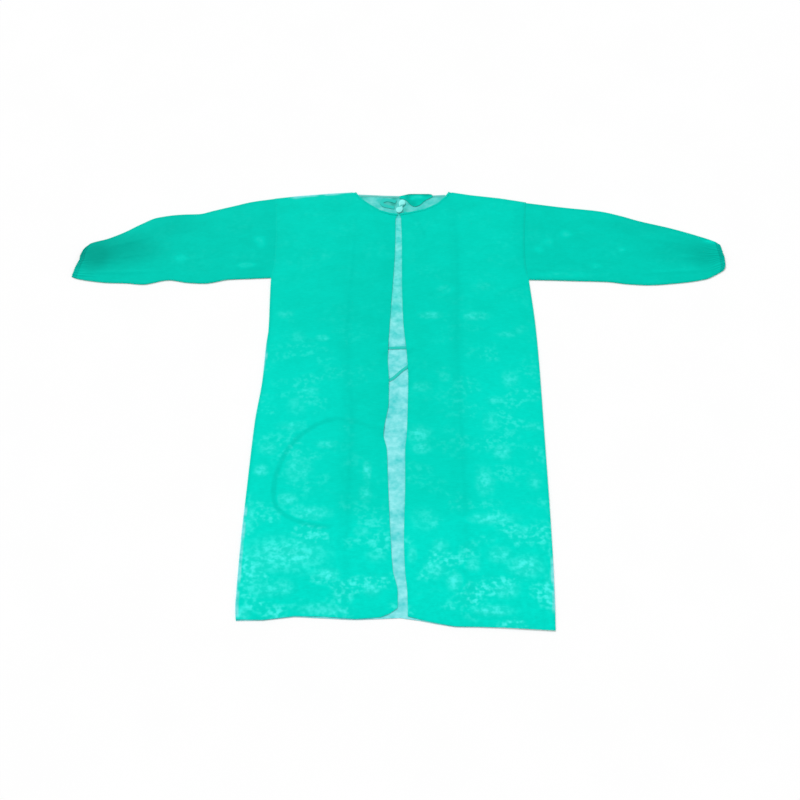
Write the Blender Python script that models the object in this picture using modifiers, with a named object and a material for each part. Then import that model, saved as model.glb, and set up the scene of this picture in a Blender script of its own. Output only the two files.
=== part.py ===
"""A disposable visitor gown of spunbonded polypropylene, laid flat with its opening up.

The wearer's back opening faces up, the neck points along +Y and the sleeves run along X.
Every layer is a thin wall. Units are metres, +Z is up, and the gown lies on z = 0.
"""

import bmesh
import bpy
import math
from collections import namedtuple

import numpy as np
from mathutils import Matrix, Vector

# Cloth and seams
WALL = 0.0010               # one layer of cloth
SEAM_GAP = 0.0003           # between pieces that are sewn together
LAYER_FLOOR = WALL + SEAM_GAP           # underside of a layer that lies on the front panel
TIE_CLEARANCE = 2 * WALL + 2 * SEAM_GAP  # underside of a layer that also covers a tie
SEAM_SLOPE = 0.035          # the upper layer climbs off its seams over this width
MOST_LIFT = 0.0048          # highest underside, so that the layers stay under 4 mm apart

# Bands and ties
BINDING_WIDTH = 0.006
BINDING_WALL = 0.0014
BINDING_GAP = 0.00045       # measured along Y, so that a sloping edge keeps the seam gap
TIE_WIDTH = 0.0075
NECK_TIE_WIDTH = 0.006
LOOP_WIDTH = 0.0105         # of the left loop of the neck bow
LOOP_STATIONS = 16          # rows of points along the right loop, which lies opened out
LOOP_ACROSS = 5
TIE_STEP = 0.009            # spacing of the points along a tie
KNOT_RADII = (0.0085, 0.0225, 0.0021)
KNOT_CENTRE = (0.0020, 0.5450)
KNOT_LEAN = math.radians(-18.5)
KNOT_WAIST = 0.5            # width of the knot's middle, of that of its two lobes

# Sleeves
UNDERARM_Y = 0.310          # the armhole seams run up from here
ARMHOLE_GAP = 0.0004
FOLD_RADIUS = 0.0011        # rounding of a sleeve's folded edge
INNER_FOLD_INSET = 0.0013
ARMHOLE_BLEND = 0.08        # the sleeve's rings straighten out over this length
PUFF_EDGE = 0.12            # share of the sleeve's width over which its upper layer rises
SLEEVE_PUFF = 0.0013        # how far a sleeve's upper layer rises between its edges
GATHERS = 14                # gathers across the upper layer of a sleeve at the wrist
GATHER_HEIGHT = 0.0013
GATHER_REACH = 0.11         # the gathers die out over this length
WRIST_FOLD_SHARE = 0.5      # what is left of the soft folds at the wrist
CUFF_LENGTH = 0.0125

# Resolution of the walls
ROWS_BELOW_ARM = 28         # of a back panel, from the hem to the underarm
ROWS_ABOVE_ARM = 11
CELLS_TO_CREASE = 5
CELLS_TO_SIDE = 6
NECK_CORNER = CELLS_TO_CREASE + 1       # the column that meets the corner of the neck
CREASE_HALF_WIDTH = 0.010
UNDERSIDE_POINTS = 11
ARMHOLE_STEP = 0.014        # spacing of the front panel's points along an armhole
SLEEVE_STATIONS = 15
STATION_CROWDING = 1.25     # over 1 brings the stations closer towards the wrist
CUFF_STATIONS = 3
CURVE_STEPS = 12            # per route point, before a tie's points are spaced out
SHARP_ANGLE = math.radians(50)

# Side edges of the body, and armhole seams above 0.31
SideRow = namedtuple("SideRow", "y left right")
SIDES = [
    SideRow(-0.594, -0.353, 0.335),
    SideRow(-0.531, -0.359, 0.338),
    SideRow(-0.413, -0.358, 0.341),
    SideRow(-0.261, -0.353, 0.342),
    SideRow(-0.095, -0.346, 0.342),
    SideRow(0.019, -0.335, 0.342),
    SideRow(0.117, -0.332, 0.341),
    SideRow(0.161, -0.329, 0.340),
    SideRow(0.310, -0.332, 0.331),
    SideRow(0.373, -0.327, 0.326),
    SideRow(0.436, -0.327, 0.328),
    SideRow(0.500, -0.331, 0.333),
    SideRow(0.575, -0.337, 0.340),
]

# Free edges of the two back panels, along the opening
OpeningRow = namedtuple("OpeningRow", "y left right")
OPENING = [
    OpeningRow(-0.565, -0.005, 0.017),
    OpeningRow(-0.510, -0.005, 0.016),
    OpeningRow(-0.459, -0.016, 0.011),
    OpeningRow(-0.389, -0.021, 0.009),
    OpeningRow(-0.244, -0.028, 0.012),
    OpeningRow(-0.168, -0.031, 0.012),
    OpeningRow(-0.128, -0.039, 0.016),
    OpeningRow(-0.036, -0.027, 0.019),
    OpeningRow(0.016, -0.027, 0.020),
    OpeningRow(0.075, -0.030, 0.018),
    OpeningRow(0.190, -0.025, 0.008),
    OpeningRow(0.310, -0.018, 0.005),
    OpeningRow(0.404, -0.013, 0.005),
    OpeningRow(0.500, -0.012, 0.003),
    OpeningRow(0.521, -0.006, -0.001),
]

# Packing creases, one down each back panel from the corner of the neck
CreaseRow = namedtuple("CreaseRow", "y left right height")
CREASES = [
    CreaseRow(-0.594, -0.127, 0.148, 0.0006),
    CreaseRow(-0.342, -0.125, 0.146, 0.0012),
    CreaseRow(-0.090, -0.119, 0.141, 0.0014),
    CreaseRow(0.117, -0.136, 0.138, 0.0010),
    CreaseRow(0.389, -0.126, 0.145, 0.0014),
    CreaseRow(0.594, -0.119, 0.131, 0.0),
]

# Hem and top edges, from the opening outwards
EdgePoint = namedtuple("EdgePoint", "x y")
LEFT_HEM = [
    EdgePoint(-0.359, -0.570),
    EdgePoint(-0.298, -0.571),
    EdgePoint(-0.228, -0.5625),
    EdgePoint(-0.163, -0.5640),
    EdgePoint(-0.098, -0.569),
    EdgePoint(-0.043, -0.5655),
    EdgePoint(-0.022, -0.557),
    EdgePoint(-0.005, -0.545),
]
RIGHT_HEM = [
    EdgePoint(0.015, -0.563),
    EdgePoint(0.043, -0.5700),
    EdgePoint(0.076, -0.5775),
    EdgePoint(0.119, -0.585),
    EdgePoint(0.173, -0.586),
    EdgePoint(0.227, -0.588),
    EdgePoint(0.334, -0.594),
]
FRONT_HEM = [
    EdgePoint(-0.356, -0.5725),
    EdgePoint(-0.298, -0.5720),
    EdgePoint(-0.228, -0.5640),
    EdgePoint(-0.098, -0.5705),
    EdgePoint(-0.043, -0.5685),
    EdgePoint(0.000, -0.5665),
    EdgePoint(0.043, -0.5725),
    EdgePoint(0.076, -0.5790),
    EdgePoint(0.119, -0.5860),
    EdgePoint(0.227, -0.5875),
    EdgePoint(0.334, -0.5925),
]
LEFT_NECK = [
    EdgePoint(-0.119, 0.593),
    EdgePoint(-0.105, 0.572),
    EdgePoint(-0.081, 0.551),
    EdgePoint(-0.053, 0.532),
    EdgePoint(-0.027, 0.523),
    EdgePoint(-0.006, 0.521),
]
RIGHT_NECK = [
    EdgePoint(-0.001, 0.521),
    EdgePoint(0.027, 0.526),
    EdgePoint(0.067, 0.536),
    EdgePoint(0.101, 0.555),
    EdgePoint(0.121, 0.577),
    EdgePoint(0.131, 0.594),
]
FRONT_NECK = [
    EdgePoint(-0.112, 0.586),
    EdgePoint(-0.040, 0.582),
    EdgePoint(0.000, 0.581),
    EdgePoint(0.060, 0.581),
    EdgePoint(0.122, 0.585),
]
LEFT_SHOULDER = [
    EdgePoint(-0.338, 0.571),
    EdgePoint(-0.270, 0.580),
    EdgePoint(-0.189, 0.588),
    EdgePoint(-0.119, 0.593),
]
RIGHT_SHOULDER = [
    EdgePoint(0.131, 0.594),
    EdgePoint(0.189, 0.583),
    EdgePoint(0.269, 0.572),
    EdgePoint(0.341, 0.558),
]

# Sleeves: distance from the middle of the gown, lower edge and upper edge
SleeveRow = namedtuple("SleeveRow", "out low high")
LEFT_SLEEVE = [
    SleeveRow(0.333, 0.316, 0.571),
    SleeveRow(0.399, 0.313, 0.560),
    SleeveRow(0.438, 0.311, 0.549),
    SleeveRow(0.501, 0.299, 0.531),
    SleeveRow(0.540, 0.301, 0.520),
    SleeveRow(0.590, 0.309, 0.518),
    SleeveRow(0.655, 0.296, 0.508),
    SleeveRow(0.700, 0.300, 0.485),
    SleeveRow(0.740, 0.301, 0.460),
    SleeveRow(0.784, 0.306, 0.4385),
    SleeveRow(0.824, 0.314, 0.425),
    SleeveRow(0.837, 0.320, 0.412),
]
RIGHT_SLEEVE = [
    SleeveRow(0.333, 0.310, 0.557),
    SleeveRow(0.381, 0.309, 0.550),
    SleeveRow(0.442, 0.307, 0.541),
    SleeveRow(0.534, 0.304, 0.529),
    SleeveRow(0.587, 0.297, 0.5145),
    SleeveRow(0.638, 0.294, 0.4965),
    SleeveRow(0.719, 0.300, 0.473),
    SleeveRow(0.791, 0.312, 0.447),
    SleeveRow(0.830, 0.332, 0.430),
    SleeveRow(0.8425, 0.3405, 0.4195),
]

# Slant of a wrist edge: share of the sleeve's width, and how far it stands out there
WristPoint = namedtuple("WristPoint", "across out")
LEFT_WRIST = [
    WristPoint(0.00, 0.0085),
    WristPoint(0.12, 0.0062),
    WristPoint(0.26, 0.0042),
    WristPoint(0.47, -0.0014),
    WristPoint(0.56, -0.0044),
    WristPoint(0.70, -0.0042),
    WristPoint(0.83, -0.0070),
    WristPoint(0.93, -0.0105),
    WristPoint(1.00, -0.0140),
]
RIGHT_WRIST = [
    WristPoint(0.00, -0.0050),
    WristPoint(0.15, 0.0002),
    WristPoint(0.50, 0.0014),
    WristPoint(0.62, -0.0004),
    WristPoint(1.00, -0.0030),
]

# Soft folds of the upper layers: a straight ridge, its height and its half width
Fold = namedtuple("Fold", "x0 y0 x1 y1 height half_width")
BODY_FOLDS = [
    Fold(-0.300, 0.250, -0.060, 0.200, 0.0006, 0.045),
    Fold(-0.310, -0.440, -0.050, -0.500, 0.0010, 0.040),
    Fold(-0.210, -0.020, -0.090, -0.230, 0.0007, 0.050),
    Fold(-0.270, 0.470, -0.100, 0.430, 0.0006, 0.040),
    Fold(0.060, 0.300, 0.300, 0.220, 0.0007, 0.045),
    Fold(0.080, -0.100, 0.290, -0.160, 0.0008, 0.050),
    Fold(0.230, -0.250, 0.260, -0.540, 0.0010, 0.040),
    Fold(0.060, -0.380, 0.200, -0.470, 0.0007, 0.040),
    Fold(0.200, 0.500, 0.290, 0.400, 0.0006, 0.035),
]
LEFT_SLEEVE_FOLDS = [
    Fold(-0.450, 0.480, -0.600, 0.420, 0.0007, 0.030),
    Fold(-0.560, 0.360, -0.740, 0.340, 0.0008, 0.022),
    Fold(-0.690, 0.440, -0.800, 0.390, 0.0009, 0.018),
]
RIGHT_SLEEVE_FOLDS = [
    Fold(0.420, 0.400, 0.580, 0.460, 0.0007, 0.030),
    Fold(0.580, 0.350, 0.740, 0.330, 0.0008, 0.022),
    Fold(0.660, 0.450, 0.800, 0.400, 0.0009, 0.018),
]

# Routes of the ties, seen from above
LEFT_WAIST_ROUTE = [
    (-0.042, -0.1145), (-0.071, -0.109), (-0.096, -0.098), (-0.130, -0.090), (-0.163, -0.0905),
    (-0.188, -0.099), (-0.213, -0.113), (-0.242, -0.138), (-0.265, -0.170), (-0.279, -0.203),
    (-0.289, -0.240), (-0.291, -0.272), (-0.286, -0.301), (-0.2775, -0.3175), (-0.260, -0.332),
    (-0.232, -0.345), (-0.197, -0.355), (-0.158, -0.358),
]
RIGHT_WAIST_ROUTE = [
    (0.022, 0.1090), (-0.010, 0.1080), (-0.040, 0.1060), (-0.056, 0.092), (-0.061, 0.066),
    (-0.055, 0.034), (-0.038, 0.0165), (-0.018, 0.022), (0.004, 0.043), (0.027, 0.060),
    (0.070, 0.079), (0.118, 0.078), (0.165, 0.054), (0.200, 0.014), (0.222, -0.040),
    (0.232, -0.095), (0.230, -0.140),
]
LEFT_NECK_ROUTE = [
    (-0.0110, 0.5600), (-0.0220, 0.5640), (-0.0380, 0.5660), (-0.0490, 0.5590), (-0.0440, 0.5490),
    (-0.0290, 0.5440), (-0.0150, 0.5410),
]
NECK_END_ROUTE = [
    (0.0105, 0.5290), (0.028, 0.5140), (0.046, 0.4960), (0.057, 0.4700), (0.066, 0.4430),
]

# The right loop of the neck bow lies opened out: its lower and upper edge, outwards from the knot
LoopRow = namedtuple("LoopRow", "x low high")
OPENED_LOOP = [
    LoopRow(-0.0020, 0.5720, 0.5795),
    LoopRow(0.0090, 0.5695, 0.5825),
    LoopRow(0.0170, 0.5645, 0.5850),
    LoopRow(0.0230, 0.5570, 0.5865),
    LoopRow(0.0290, 0.5500, 0.5872),
    LoopRow(0.0400, 0.5440, 0.5873),
    LoopRow(0.0520, 0.5490, 0.5872),
    LoopRow(0.0650, 0.5622, 0.5872),
    LoopRow(0.0780, 0.5712, 0.5868),
    LoopRow(0.0850, 0.5755, 0.5852),
    LoopRow(0.0880, 0.5785, 0.5825),
]

# sRGB colours
CLOTH_COLOUR = "00d5bc"
CUFF_COLOUR = "00a893"
BINDING_COLOUR = "00c4ae"
TIE_COLOUR = "18a595"
KNOT_COLOUR = "8ff0ea"


def colour(code):
    """Linear RGBA of an sRGB hex code."""
    values = [int(code[i:i + 2], 16) / 255 for i in (0, 2, 4)]
    linear = [v / 12.92 if v <= 0.04045 else ((v + 0.055) / 1.055) ** 2.4 for v in values]
    return (*linear, 1.0)


def material(name, code, roughness=0.62):
    made = bpy.data.materials.new(name)
    made.use_nodes = True
    shader = made.node_tree.nodes["Principled BSDF"]
    shader.inputs["Base Color"].default_value = colour(code)
    shader.inputs["Roughness"].default_value = roughness
    shader.inputs["Metallic"].default_value = 0.0
    return made


def smooth_through(stations, values):
    """A smooth curve through the table's values, which doesn't swing past them."""
    stations = np.array(stations)
    values = np.array(values)
    steps = np.diff(stations)
    slopes = np.diff(values) / steps
    tangents = np.zeros(len(values))
    for i in range(1, len(values) - 1):
        before, after = slopes[i - 1], slopes[i]
        if before * after > 0:
            tangents[i] = 2 * before * after / (before + after)
    tangents[0], tangents[-1] = slopes[0], slopes[-1]

    def value_at(place):
        place = min(max(place, stations[0]), stations[-1])
        i = min(int(np.searchsorted(stations, place, side="right")) - 1, len(steps) - 1)
        t = (place - stations[i]) / steps[i]
        start = values[i] * (1 + 2 * t) * (1 - t) ** 2 + values[i + 1] * t * t * (3 - 2 * t)
        bend = tangents[i] * t * (1 - t) ** 2 + tangents[i + 1] * t * t * (t - 1)
        return float(start + steps[i] * bend)

    return value_at


def column(rows, name):
    """The smooth curve of one column of a table whose first column is y."""
    return smooth_through([row.y for row in rows], [getattr(row, name) for row in rows])


def edge_height(points):
    """y along an edge that is given by points in order of x."""
    xs = [point.x for point in points]
    ys = [point.y for point in points]
    return lambda x: float(np.interp(x, xs, ys))


def ease(value):
    """0 to 1, level at both ends."""
    value = min(max(value, 0.0), 1.0)
    return value * value * (3 - 2 * value)


def fold_lift(folds, x, y):
    """Height that the soft folds add at a point."""
    lift = 0.0
    for fold in folds:
        start = Vector((fold.x0, fold.y0))
        run = Vector((fold.x1, fold.y1)) - start
        along = min(max((Vector((x, y)) - start).dot(run) / run.length_squared, 0.0), 1.0)
        distance = (Vector((x, y)) - start - run * along).length
        lift += fold.height * math.exp(-((distance / fold.half_width) ** 2))
    return lift


BackPanel = namedtuple("BackPanel", "side opening crease crease_height neck shoulder hem corner_x")


def back_panel_shape(name, neck, shoulder, hem, corner_x):
    """The edges of one back panel as curves."""
    return BackPanel(
        side=column(SIDES, name),
        opening=column(OPENING, name),
        crease=column(CREASES, name),
        crease_height=column(CREASES, "height"),
        neck=edge_height(neck),
        shoulder=edge_height(shoulder),
        hem=edge_height(hem),
        corner_x=corner_x,
    )


LEFT = back_panel_shape("left", LEFT_NECK, LEFT_SHOULDER, LEFT_HEM, -0.119)
RIGHT = back_panel_shape("right", RIGHT_NECK, RIGHT_SHOULDER, RIGHT_HEM, 0.131)


def seam_distance(panel, x, y):
    """How far a point of a back panel is from its nearest sewn edge or hem."""
    outward = 1 if panel.corner_x > 0 else -1
    past_corner = max(0.0, (panel.corner_x - x) * outward)
    shoulder_x = panel.corner_x if past_corner > 0 else x
    to_shoulder = math.hypot(past_corner, panel.shoulder(shoulder_x) - y)
    to_side = (panel.side(y) - x) * outward
    return max(min(to_side, to_shoulder, y - panel.hem(x)), 0.0)


def back_underside(panel, x, y):
    """Height of a back panel's underside: on the seams, over the ties, and up the soft folds."""
    inside = seam_distance(panel, x, y)
    level = LAYER_FLOOR + (TIE_CLEARANCE - LAYER_FLOOR) * ease(inside / SEAM_SLOPE)
    lift = fold_lift(BODY_FOLDS, x, y)
    if abs(x - panel.crease(y)) < CREASE_HALF_WIDTH / 2:
        lift += panel.crease_height(y)
    return min(level + lift * ease(inside / (2 * SEAM_SLOPE)), MOST_LIFT)


def column_places(panel, y):
    """x of each column of a back panel at height y, from the opening to the side."""
    outward = 1 if panel.corner_x > 0 else -1
    crease = panel.crease(y)
    near, far = crease - outward * CREASE_HALF_WIDTH, crease + outward * CREASE_HALF_WIDTH
    inner = np.linspace(panel.opening(y), near, CELLS_TO_CREASE + 1)
    outer = np.linspace(far, panel.side(y), CELLS_TO_SIDE + 1)
    return [*inner, crease, *outer]


def edge_point(panel, index, edge):
    """Where one column meets an edge, found in a few steps because columns lean a little."""
    y = 0.0
    for _ in range(6):
        y = edge(column_places(panel, y)[index])
    return column_places(panel, y)[index], y


def finished_top(panel):
    """Points of the neck edge and the shoulder edge, one a column."""
    points = []
    for index in range(len(column_places(panel, 0.0))):
        edge = panel.neck if index < NECK_CORNER else panel.shoulder
        points.append(edge_point(panel, index, edge))
    return points


def back_panel_grid(panel):
    """Rows of points of a back panel's underside, from the hem to the top."""
    columns = []
    for index, (_, top_y) in enumerate(finished_top(panel)):
        if index <= NECK_CORNER:
            top_y -= BINDING_WIDTH + BINDING_GAP
        _, hem_y = edge_point(panel, index, panel.hem)
        heights = list(np.linspace(hem_y, UNDERARM_Y, ROWS_BELOW_ARM, endpoint=False))
        heights += list(np.linspace(UNDERARM_Y, top_y, ROWS_ABOVE_ARM + 1))
        columns.append([(column_places(panel, y)[index], y) for y in heights])
    rows = []
    for i in range(len(columns[0])):
        row = [columns[j][i] for j in range(len(columns))]
        rows.append([Vector((x, y, back_underside(panel, x, y))) for x, y in row])
    return rows


def link(obj, finish):
    """Puts an object in the gown's collection with its material."""
    obj.data.materials.append(finish)
    GOWN.objects.link(obj)
    if obj.type == "MESH":
        obj.data.shade_smooth()
        obj.data.set_sharp_from_angle(angle=SHARP_ANGLE)
    return obj


def mesh_object(name, points, faces):
    mesh = bpy.data.meshes.new(name)
    mesh.from_pydata([tuple(point) for point in points], [], faces)
    work = bmesh.new()
    work.from_mesh(mesh)
    bmesh.ops.recalc_face_normals(work, faces=work.faces)
    work.to_mesh(mesh)
    work.free()
    return bpy.data.objects.new(name, mesh)


def cloth_from_grid(name, rows, finish, wall=WALL):
    """An open surface through rows of points, thickened upwards to a wall."""
    width = len(rows[0])
    points = [point for row in rows for point in row]
    faces = []
    for i in range(len(rows) - 1):
        for j in range(width - 1):
            first = i * width + j
            faces.append((first, first + 1, first + width + 1, first + width))
    mesh = bpy.data.meshes.new(name)
    mesh.from_pydata([tuple(point) for point in points], [], faces)
    if mesh.polygons[0].normal.z < 0:
        mesh.flip_normals()
    obj = bpy.data.objects.new(name, mesh)
    solidify = obj.modifiers.new("Wall", "SOLIDIFY")
    solidify.thickness = wall
    solidify.offset = 1.0
    solidify.use_even_offset = True
    return link(obj, finish)


def neck_binding(name, panel, finish):
    """A narrow band along a back panel's neck edge, just clear of the panel."""
    rows = []
    for x, y in finished_top(panel)[:NECK_CORNER + 1]:
        low, high = y - BINDING_WIDTH, y
        level = back_underside(panel, x, low)
        rows.append([Vector((x, low, level)), Vector((x, high, level))])
    return cloth_from_grid(name, rows, finish, BINDING_WALL)


def flat_piece(name, outline, finish):
    """A flat outline with the wall's thickness, resting on the ground."""
    curve = bpy.data.curves.new(name, "CURVE")
    curve.dimensions = "2D"
    curve.fill_mode = "BOTH"
    curve.extrude = WALL / 2
    spline = curve.splines.new("POLY")
    spline.points.add(len(outline) - 1)
    for point, (x, y) in zip(spline.points, outline):
        point.co = (x, y, 0, 1)
    spline.use_cyclic_u = True
    obj = bpy.data.objects.new(name, curve)
    obj.location.z = WALL / 2
    return link(obj, finish)


def front_side(name, shoulder_y):
    """Points up one side of the front panel, close together along the armhole."""
    side = column(SIDES, name)
    count = round((shoulder_y - UNDERARM_Y) / ARMHOLE_STEP)
    ys = [row.y for row in SIDES[1:] if row.y < UNDERARM_Y]
    ys += list(np.linspace(UNDERARM_Y, shoulder_y, count))
    return [(side(y), y) for y in ys]


def front_panel(finish):
    """The uncut panel underneath, seen through the opening."""
    hem = [(point.x, point.y) for point in FRONT_HEM]
    neck = [(point.x, point.y - BINDING_WIDTH - BINDING_GAP) for point in reversed(FRONT_NECK)]
    right_shoulder = [(point.x, point.y) for point in reversed(RIGHT_SHOULDER[:-1])]
    left_shoulder = [(point.x, point.y) for point in reversed(LEFT_SHOULDER[1:])]
    outline = hem
    outline += front_side("right", RIGHT_SHOULDER[-1].y)
    outline += right_shoulder
    outline += neck
    outline += left_shoulder
    outline += reversed(front_side("left", LEFT_SHOULDER[0].y))
    return flat_piece("front_panel", outline, finish)


def front_neck_binding(finish):
    """The band along the front panel's neck edge."""
    low = [(point.x, point.y - BINDING_WIDTH) for point in FRONT_NECK]
    high = [(point.x, point.y) for point in reversed(FRONT_NECK)]
    return flat_piece("front_neck_binding", low + high, finish)


def gather_wave(across):
    """0 to 1 and back for each gather across a sleeve."""
    phase = across * GATHERS % 1.0
    return 1 - abs(2 * phase - 1)


def sleeve_underside(folds, x, y, across, to_wrist):
    """Height of the inner face of a sleeve's upper layer."""
    edge = ease(min(across, 1 - across) / PUFF_EDGE)
    puff = SLEEVE_PUFF * math.sin(math.pi * across)
    near_wrist = ease(1 - to_wrist / GATHER_REACH)
    gathers = GATHER_HEIGHT * near_wrist * gather_wave(across)
    lift = fold_lift(folds, x, y) * (1 - (1 - WRIST_FOLD_SHARE) * near_wrist)
    return min(LAYER_FLOOR + edge * (puff + gathers + lift), MOST_LIFT)


def sleeve_ring(rows, outward, wrist, folds, out):
    """Outer and inner ring of points of a sleeve at one distance from the middle."""
    low = smooth_through([row.out for row in rows], [row.low for row in rows])(out)
    high = smooth_through([row.out for row in rows], [row.high for row in rows])(out)
    armhole = column(SIDES, "right" if outward > 0 else "left")
    start, end = rows[0].out, rows[-1].out
    toward_wrist = ease((out - start) / (end - start))
    near_armhole = max(0.0, 1 - (out - start) / ARMHOLE_BLEND)
    shares = [point.across for point in wrist]
    slants = [point.out for point in wrist]

    def place(y, z):
        across = (y - low) / (high - low)
        shift = toward_wrist * float(np.interp(across, shares, slants))
        seam_shift = (abs(armhole(y)) - start) * near_armhole
        return Vector((outward * (out + shift + seam_shift + ARMHOLE_GAP), y, z))

    def ring(edge_inset, row_inset, floor_z, roof):
        under = np.linspace(low + row_inset, high - row_inset, UNDERSIDE_POINTS)
        over = np.linspace(high - row_inset, low + row_inset, 2 * GATHERS + 1)
        middle_z = LAYER_FLOOR - SEAM_GAP / 2
        points = [place(y, floor_z) for y in under]
        points.append(place(high - edge_inset, middle_z))
        points += [place(y, roof(y)) for y in over]
        points.append(place(low + edge_inset, middle_z))
        return points

    def inner_roof(y):
        across = (y - low) / (high - low)
        return sleeve_underside(folds, outward * out, y, across, end - out)

    outer = ring(0.0, FOLD_RADIUS, 0.0, lambda y: inner_roof(y) + WALL)
    inner = ring(WALL, INNER_FOLD_INSET, WALL, inner_roof)
    return outer, inner


def tube_wall(name, rings, finish):
    """A closed wall through pairs of outer and inner rings, open at both ends."""
    size = len(rings[0][0])
    points = [point for outer, inner in rings for point in outer + inner]
    faces = []
    for i in range(len(rings) - 1):
        for layer in (0, size):
            here, there = 2 * size * i + layer, 2 * size * (i + 1) + layer
            for j in range(size):
                k = (j + 1) % size
                faces.append((here + j, here + k, there + k, there + j))
    for start in (0, 2 * size * (len(rings) - 1)):
        for j in range(size):
            k = (j + 1) % size
            faces.append((start + j, start + k, start + size + k, start + size + j))
    return link(mesh_object(name, points, faces), finish)


def sleeve_stations(start, end):
    """Stations along a sleeve, closer together towards the wrist."""
    steps = np.linspace(0, 1, SLEEVE_STATIONS)
    return [start + (end - start) * (1 - (1 - s) ** STATION_CROWDING) for s in steps]


def sleeve(name, rows, outward, wrist, folds, finish):
    end = rows[-1].out - CUFF_LENGTH - SEAM_GAP
    stations = sleeve_stations(rows[0].out, end)
    rings = [sleeve_ring(rows, outward, wrist, folds, out) for out in stations]
    return tube_wall(name, rings, finish)


def cuff(name, rows, outward, wrist, folds, finish):
    """The elasticated wrist band, gathered like the sleeve that runs into it."""
    stations = np.linspace(rows[-1].out - CUFF_LENGTH, rows[-1].out, CUFF_STATIONS)
    rings = [sleeve_ring(rows, outward, wrist, folds, out) for out in stations]
    return tube_wall(name, rings, finish)


def spline_points(route, step):
    """Evenly spaced points on a smooth curve through a route."""
    points = [Vector(point) for point in route]
    ends = [2 * points[0] - points[1], *points, 2 * points[-1] - points[-2]]
    dense = []
    for i in range(1, len(ends) - 2):
        before, here, there, after = ends[i - 1:i + 3]
        for t in np.linspace(0, 1, CURVE_STEPS, endpoint=False):
            curve = 2 * here + (there - before) * t
            curve += (2 * before - 5 * here + 4 * there - after) * t ** 2
            curve += (3 * here - before - 3 * there + after) * t ** 3
            dense.append(curve / 2)
    dense.append(points[-1])
    lengths = np.cumsum([0.0] + [(b - a).length for a, b in zip(dense, dense[1:])])
    count = max(2, round(lengths[-1] / step))
    places = np.linspace(0, lengths[-1], count + 1)
    xs = np.interp(places, lengths, [point.x for point in dense])
    ys = np.interp(places, lengths, [point.y for point in dense])
    return [Vector(point) for point in zip(xs, ys)]


def tie(name, route, width, finish, step=TIE_STEP):
    """A flat strip that lies on the front panel along its route."""
    line = spline_points(route, step)
    rows = []
    for i, point in enumerate(line):
        run = line[min(i + 1, len(line) - 1)] - line[max(i - 1, 0)]
        across = Vector((-run.y, run.x)).normalized() * width / 2
        left, right = point + across, point - across
        rows.append([Vector((*left, LAYER_FLOOR)), Vector((*right, LAYER_FLOOR))])
    return cloth_from_grid(name, rows, finish)


def opened_loop(name, rows, finish):
    """The right loop of the neck bow, which lies opened out on the front panel like a leaf."""
    places = [row.x for row in rows]
    low_at = smooth_through(places, [row.low for row in rows])
    high_at = smooth_through(places, [row.high for row in rows])
    grid = []
    for x in np.linspace(places[0], places[-1], LOOP_STATIONS):
        across = np.linspace(high_at(x), low_at(x), LOOP_ACROSS)
        grid.append([Vector((x, y, LAYER_FLOOR)) for y in across])
    return cloth_from_grid(name, grid, finish)


def neck_knot(finish):
    """The knot of the neck ties: a flattened bead of two lobes with a waist between them."""
    work = bmesh.new()
    bmesh.ops.create_uvsphere(work, u_segments=14, v_segments=10, radius=1.0)
    bmesh.ops.rotate(work, verts=work.verts, matrix=Matrix.Rotation(math.pi / 2, 3, "X"))
    for vert in work.verts:
        reach = abs(vert.co.y)
        lobes = (KNOT_WAIST ** 4 + (4 * reach / (1 + reach)) ** 2) ** 0.25
        vert.co.x *= lobes
        vert.co.z *= lobes
        vert.co = Vector(KNOT_RADII) * vert.co
    bmesh.ops.rotate(work, verts=work.verts, matrix=Matrix.Rotation(KNOT_LEAN, 3, "Z"))
    height = LAYER_FLOOR + KNOT_RADII[2]
    bmesh.ops.translate(work, verts=work.verts, vec=(*KNOT_CENTRE, height))
    mesh = bpy.data.meshes.new("neck_knot")
    work.to_mesh(mesh)
    work.free()
    return link(bpy.data.objects.new("neck_knot", mesh), finish)


def build_gown():
    cloth = material("spunbond_cloth", CLOTH_COLOUR)
    cuff_cloth = material("gathered_spunbond", CUFF_COLOUR)
    binding = material("neck_binding", BINDING_COLOUR)
    tape = material("tie_strip", TIE_COLOUR)
    knot = material("tie_knot", KNOT_COLOUR)
    front_panel(cloth)
    cloth_from_grid("left_back_panel", back_panel_grid(LEFT), cloth)
    cloth_from_grid("right_back_panel", back_panel_grid(RIGHT), cloth)
    front_neck_binding(binding)
    neck_binding("left_neck_binding", LEFT, binding)
    neck_binding("right_neck_binding", RIGHT, binding)
    sleeve("left_sleeve", LEFT_SLEEVE, -1, LEFT_WRIST, LEFT_SLEEVE_FOLDS, cloth)
    sleeve("right_sleeve", RIGHT_SLEEVE, 1, RIGHT_WRIST, RIGHT_SLEEVE_FOLDS, cloth)
    cuff("left_cuff", LEFT_SLEEVE, -1, LEFT_WRIST, LEFT_SLEEVE_FOLDS, cuff_cloth)
    cuff("right_cuff", RIGHT_SLEEVE, 1, RIGHT_WRIST, RIGHT_SLEEVE_FOLDS, cuff_cloth)
    tie("left_waist_tie", LEFT_WAIST_ROUTE, TIE_WIDTH, tape)
    tie("right_waist_tie", RIGHT_WAIST_ROUTE, TIE_WIDTH, tape)
    tie("left_neck_tie", LEFT_NECK_ROUTE, LOOP_WIDTH, tape, TIE_STEP / 2)
    opened_loop("right_neck_tie", OPENED_LOOP, tape)
    tie("neck_tie_end", NECK_END_ROUTE, NECK_TIE_WIDTH, tape)
    neck_knot(knot)


for old in list(bpy.data.objects):
    bpy.data.objects.remove(old)
GOWN = bpy.data.collections.new("visitor_gown")
bpy.context.scene.collection.children.link(GOWN)
build_gown()
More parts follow.
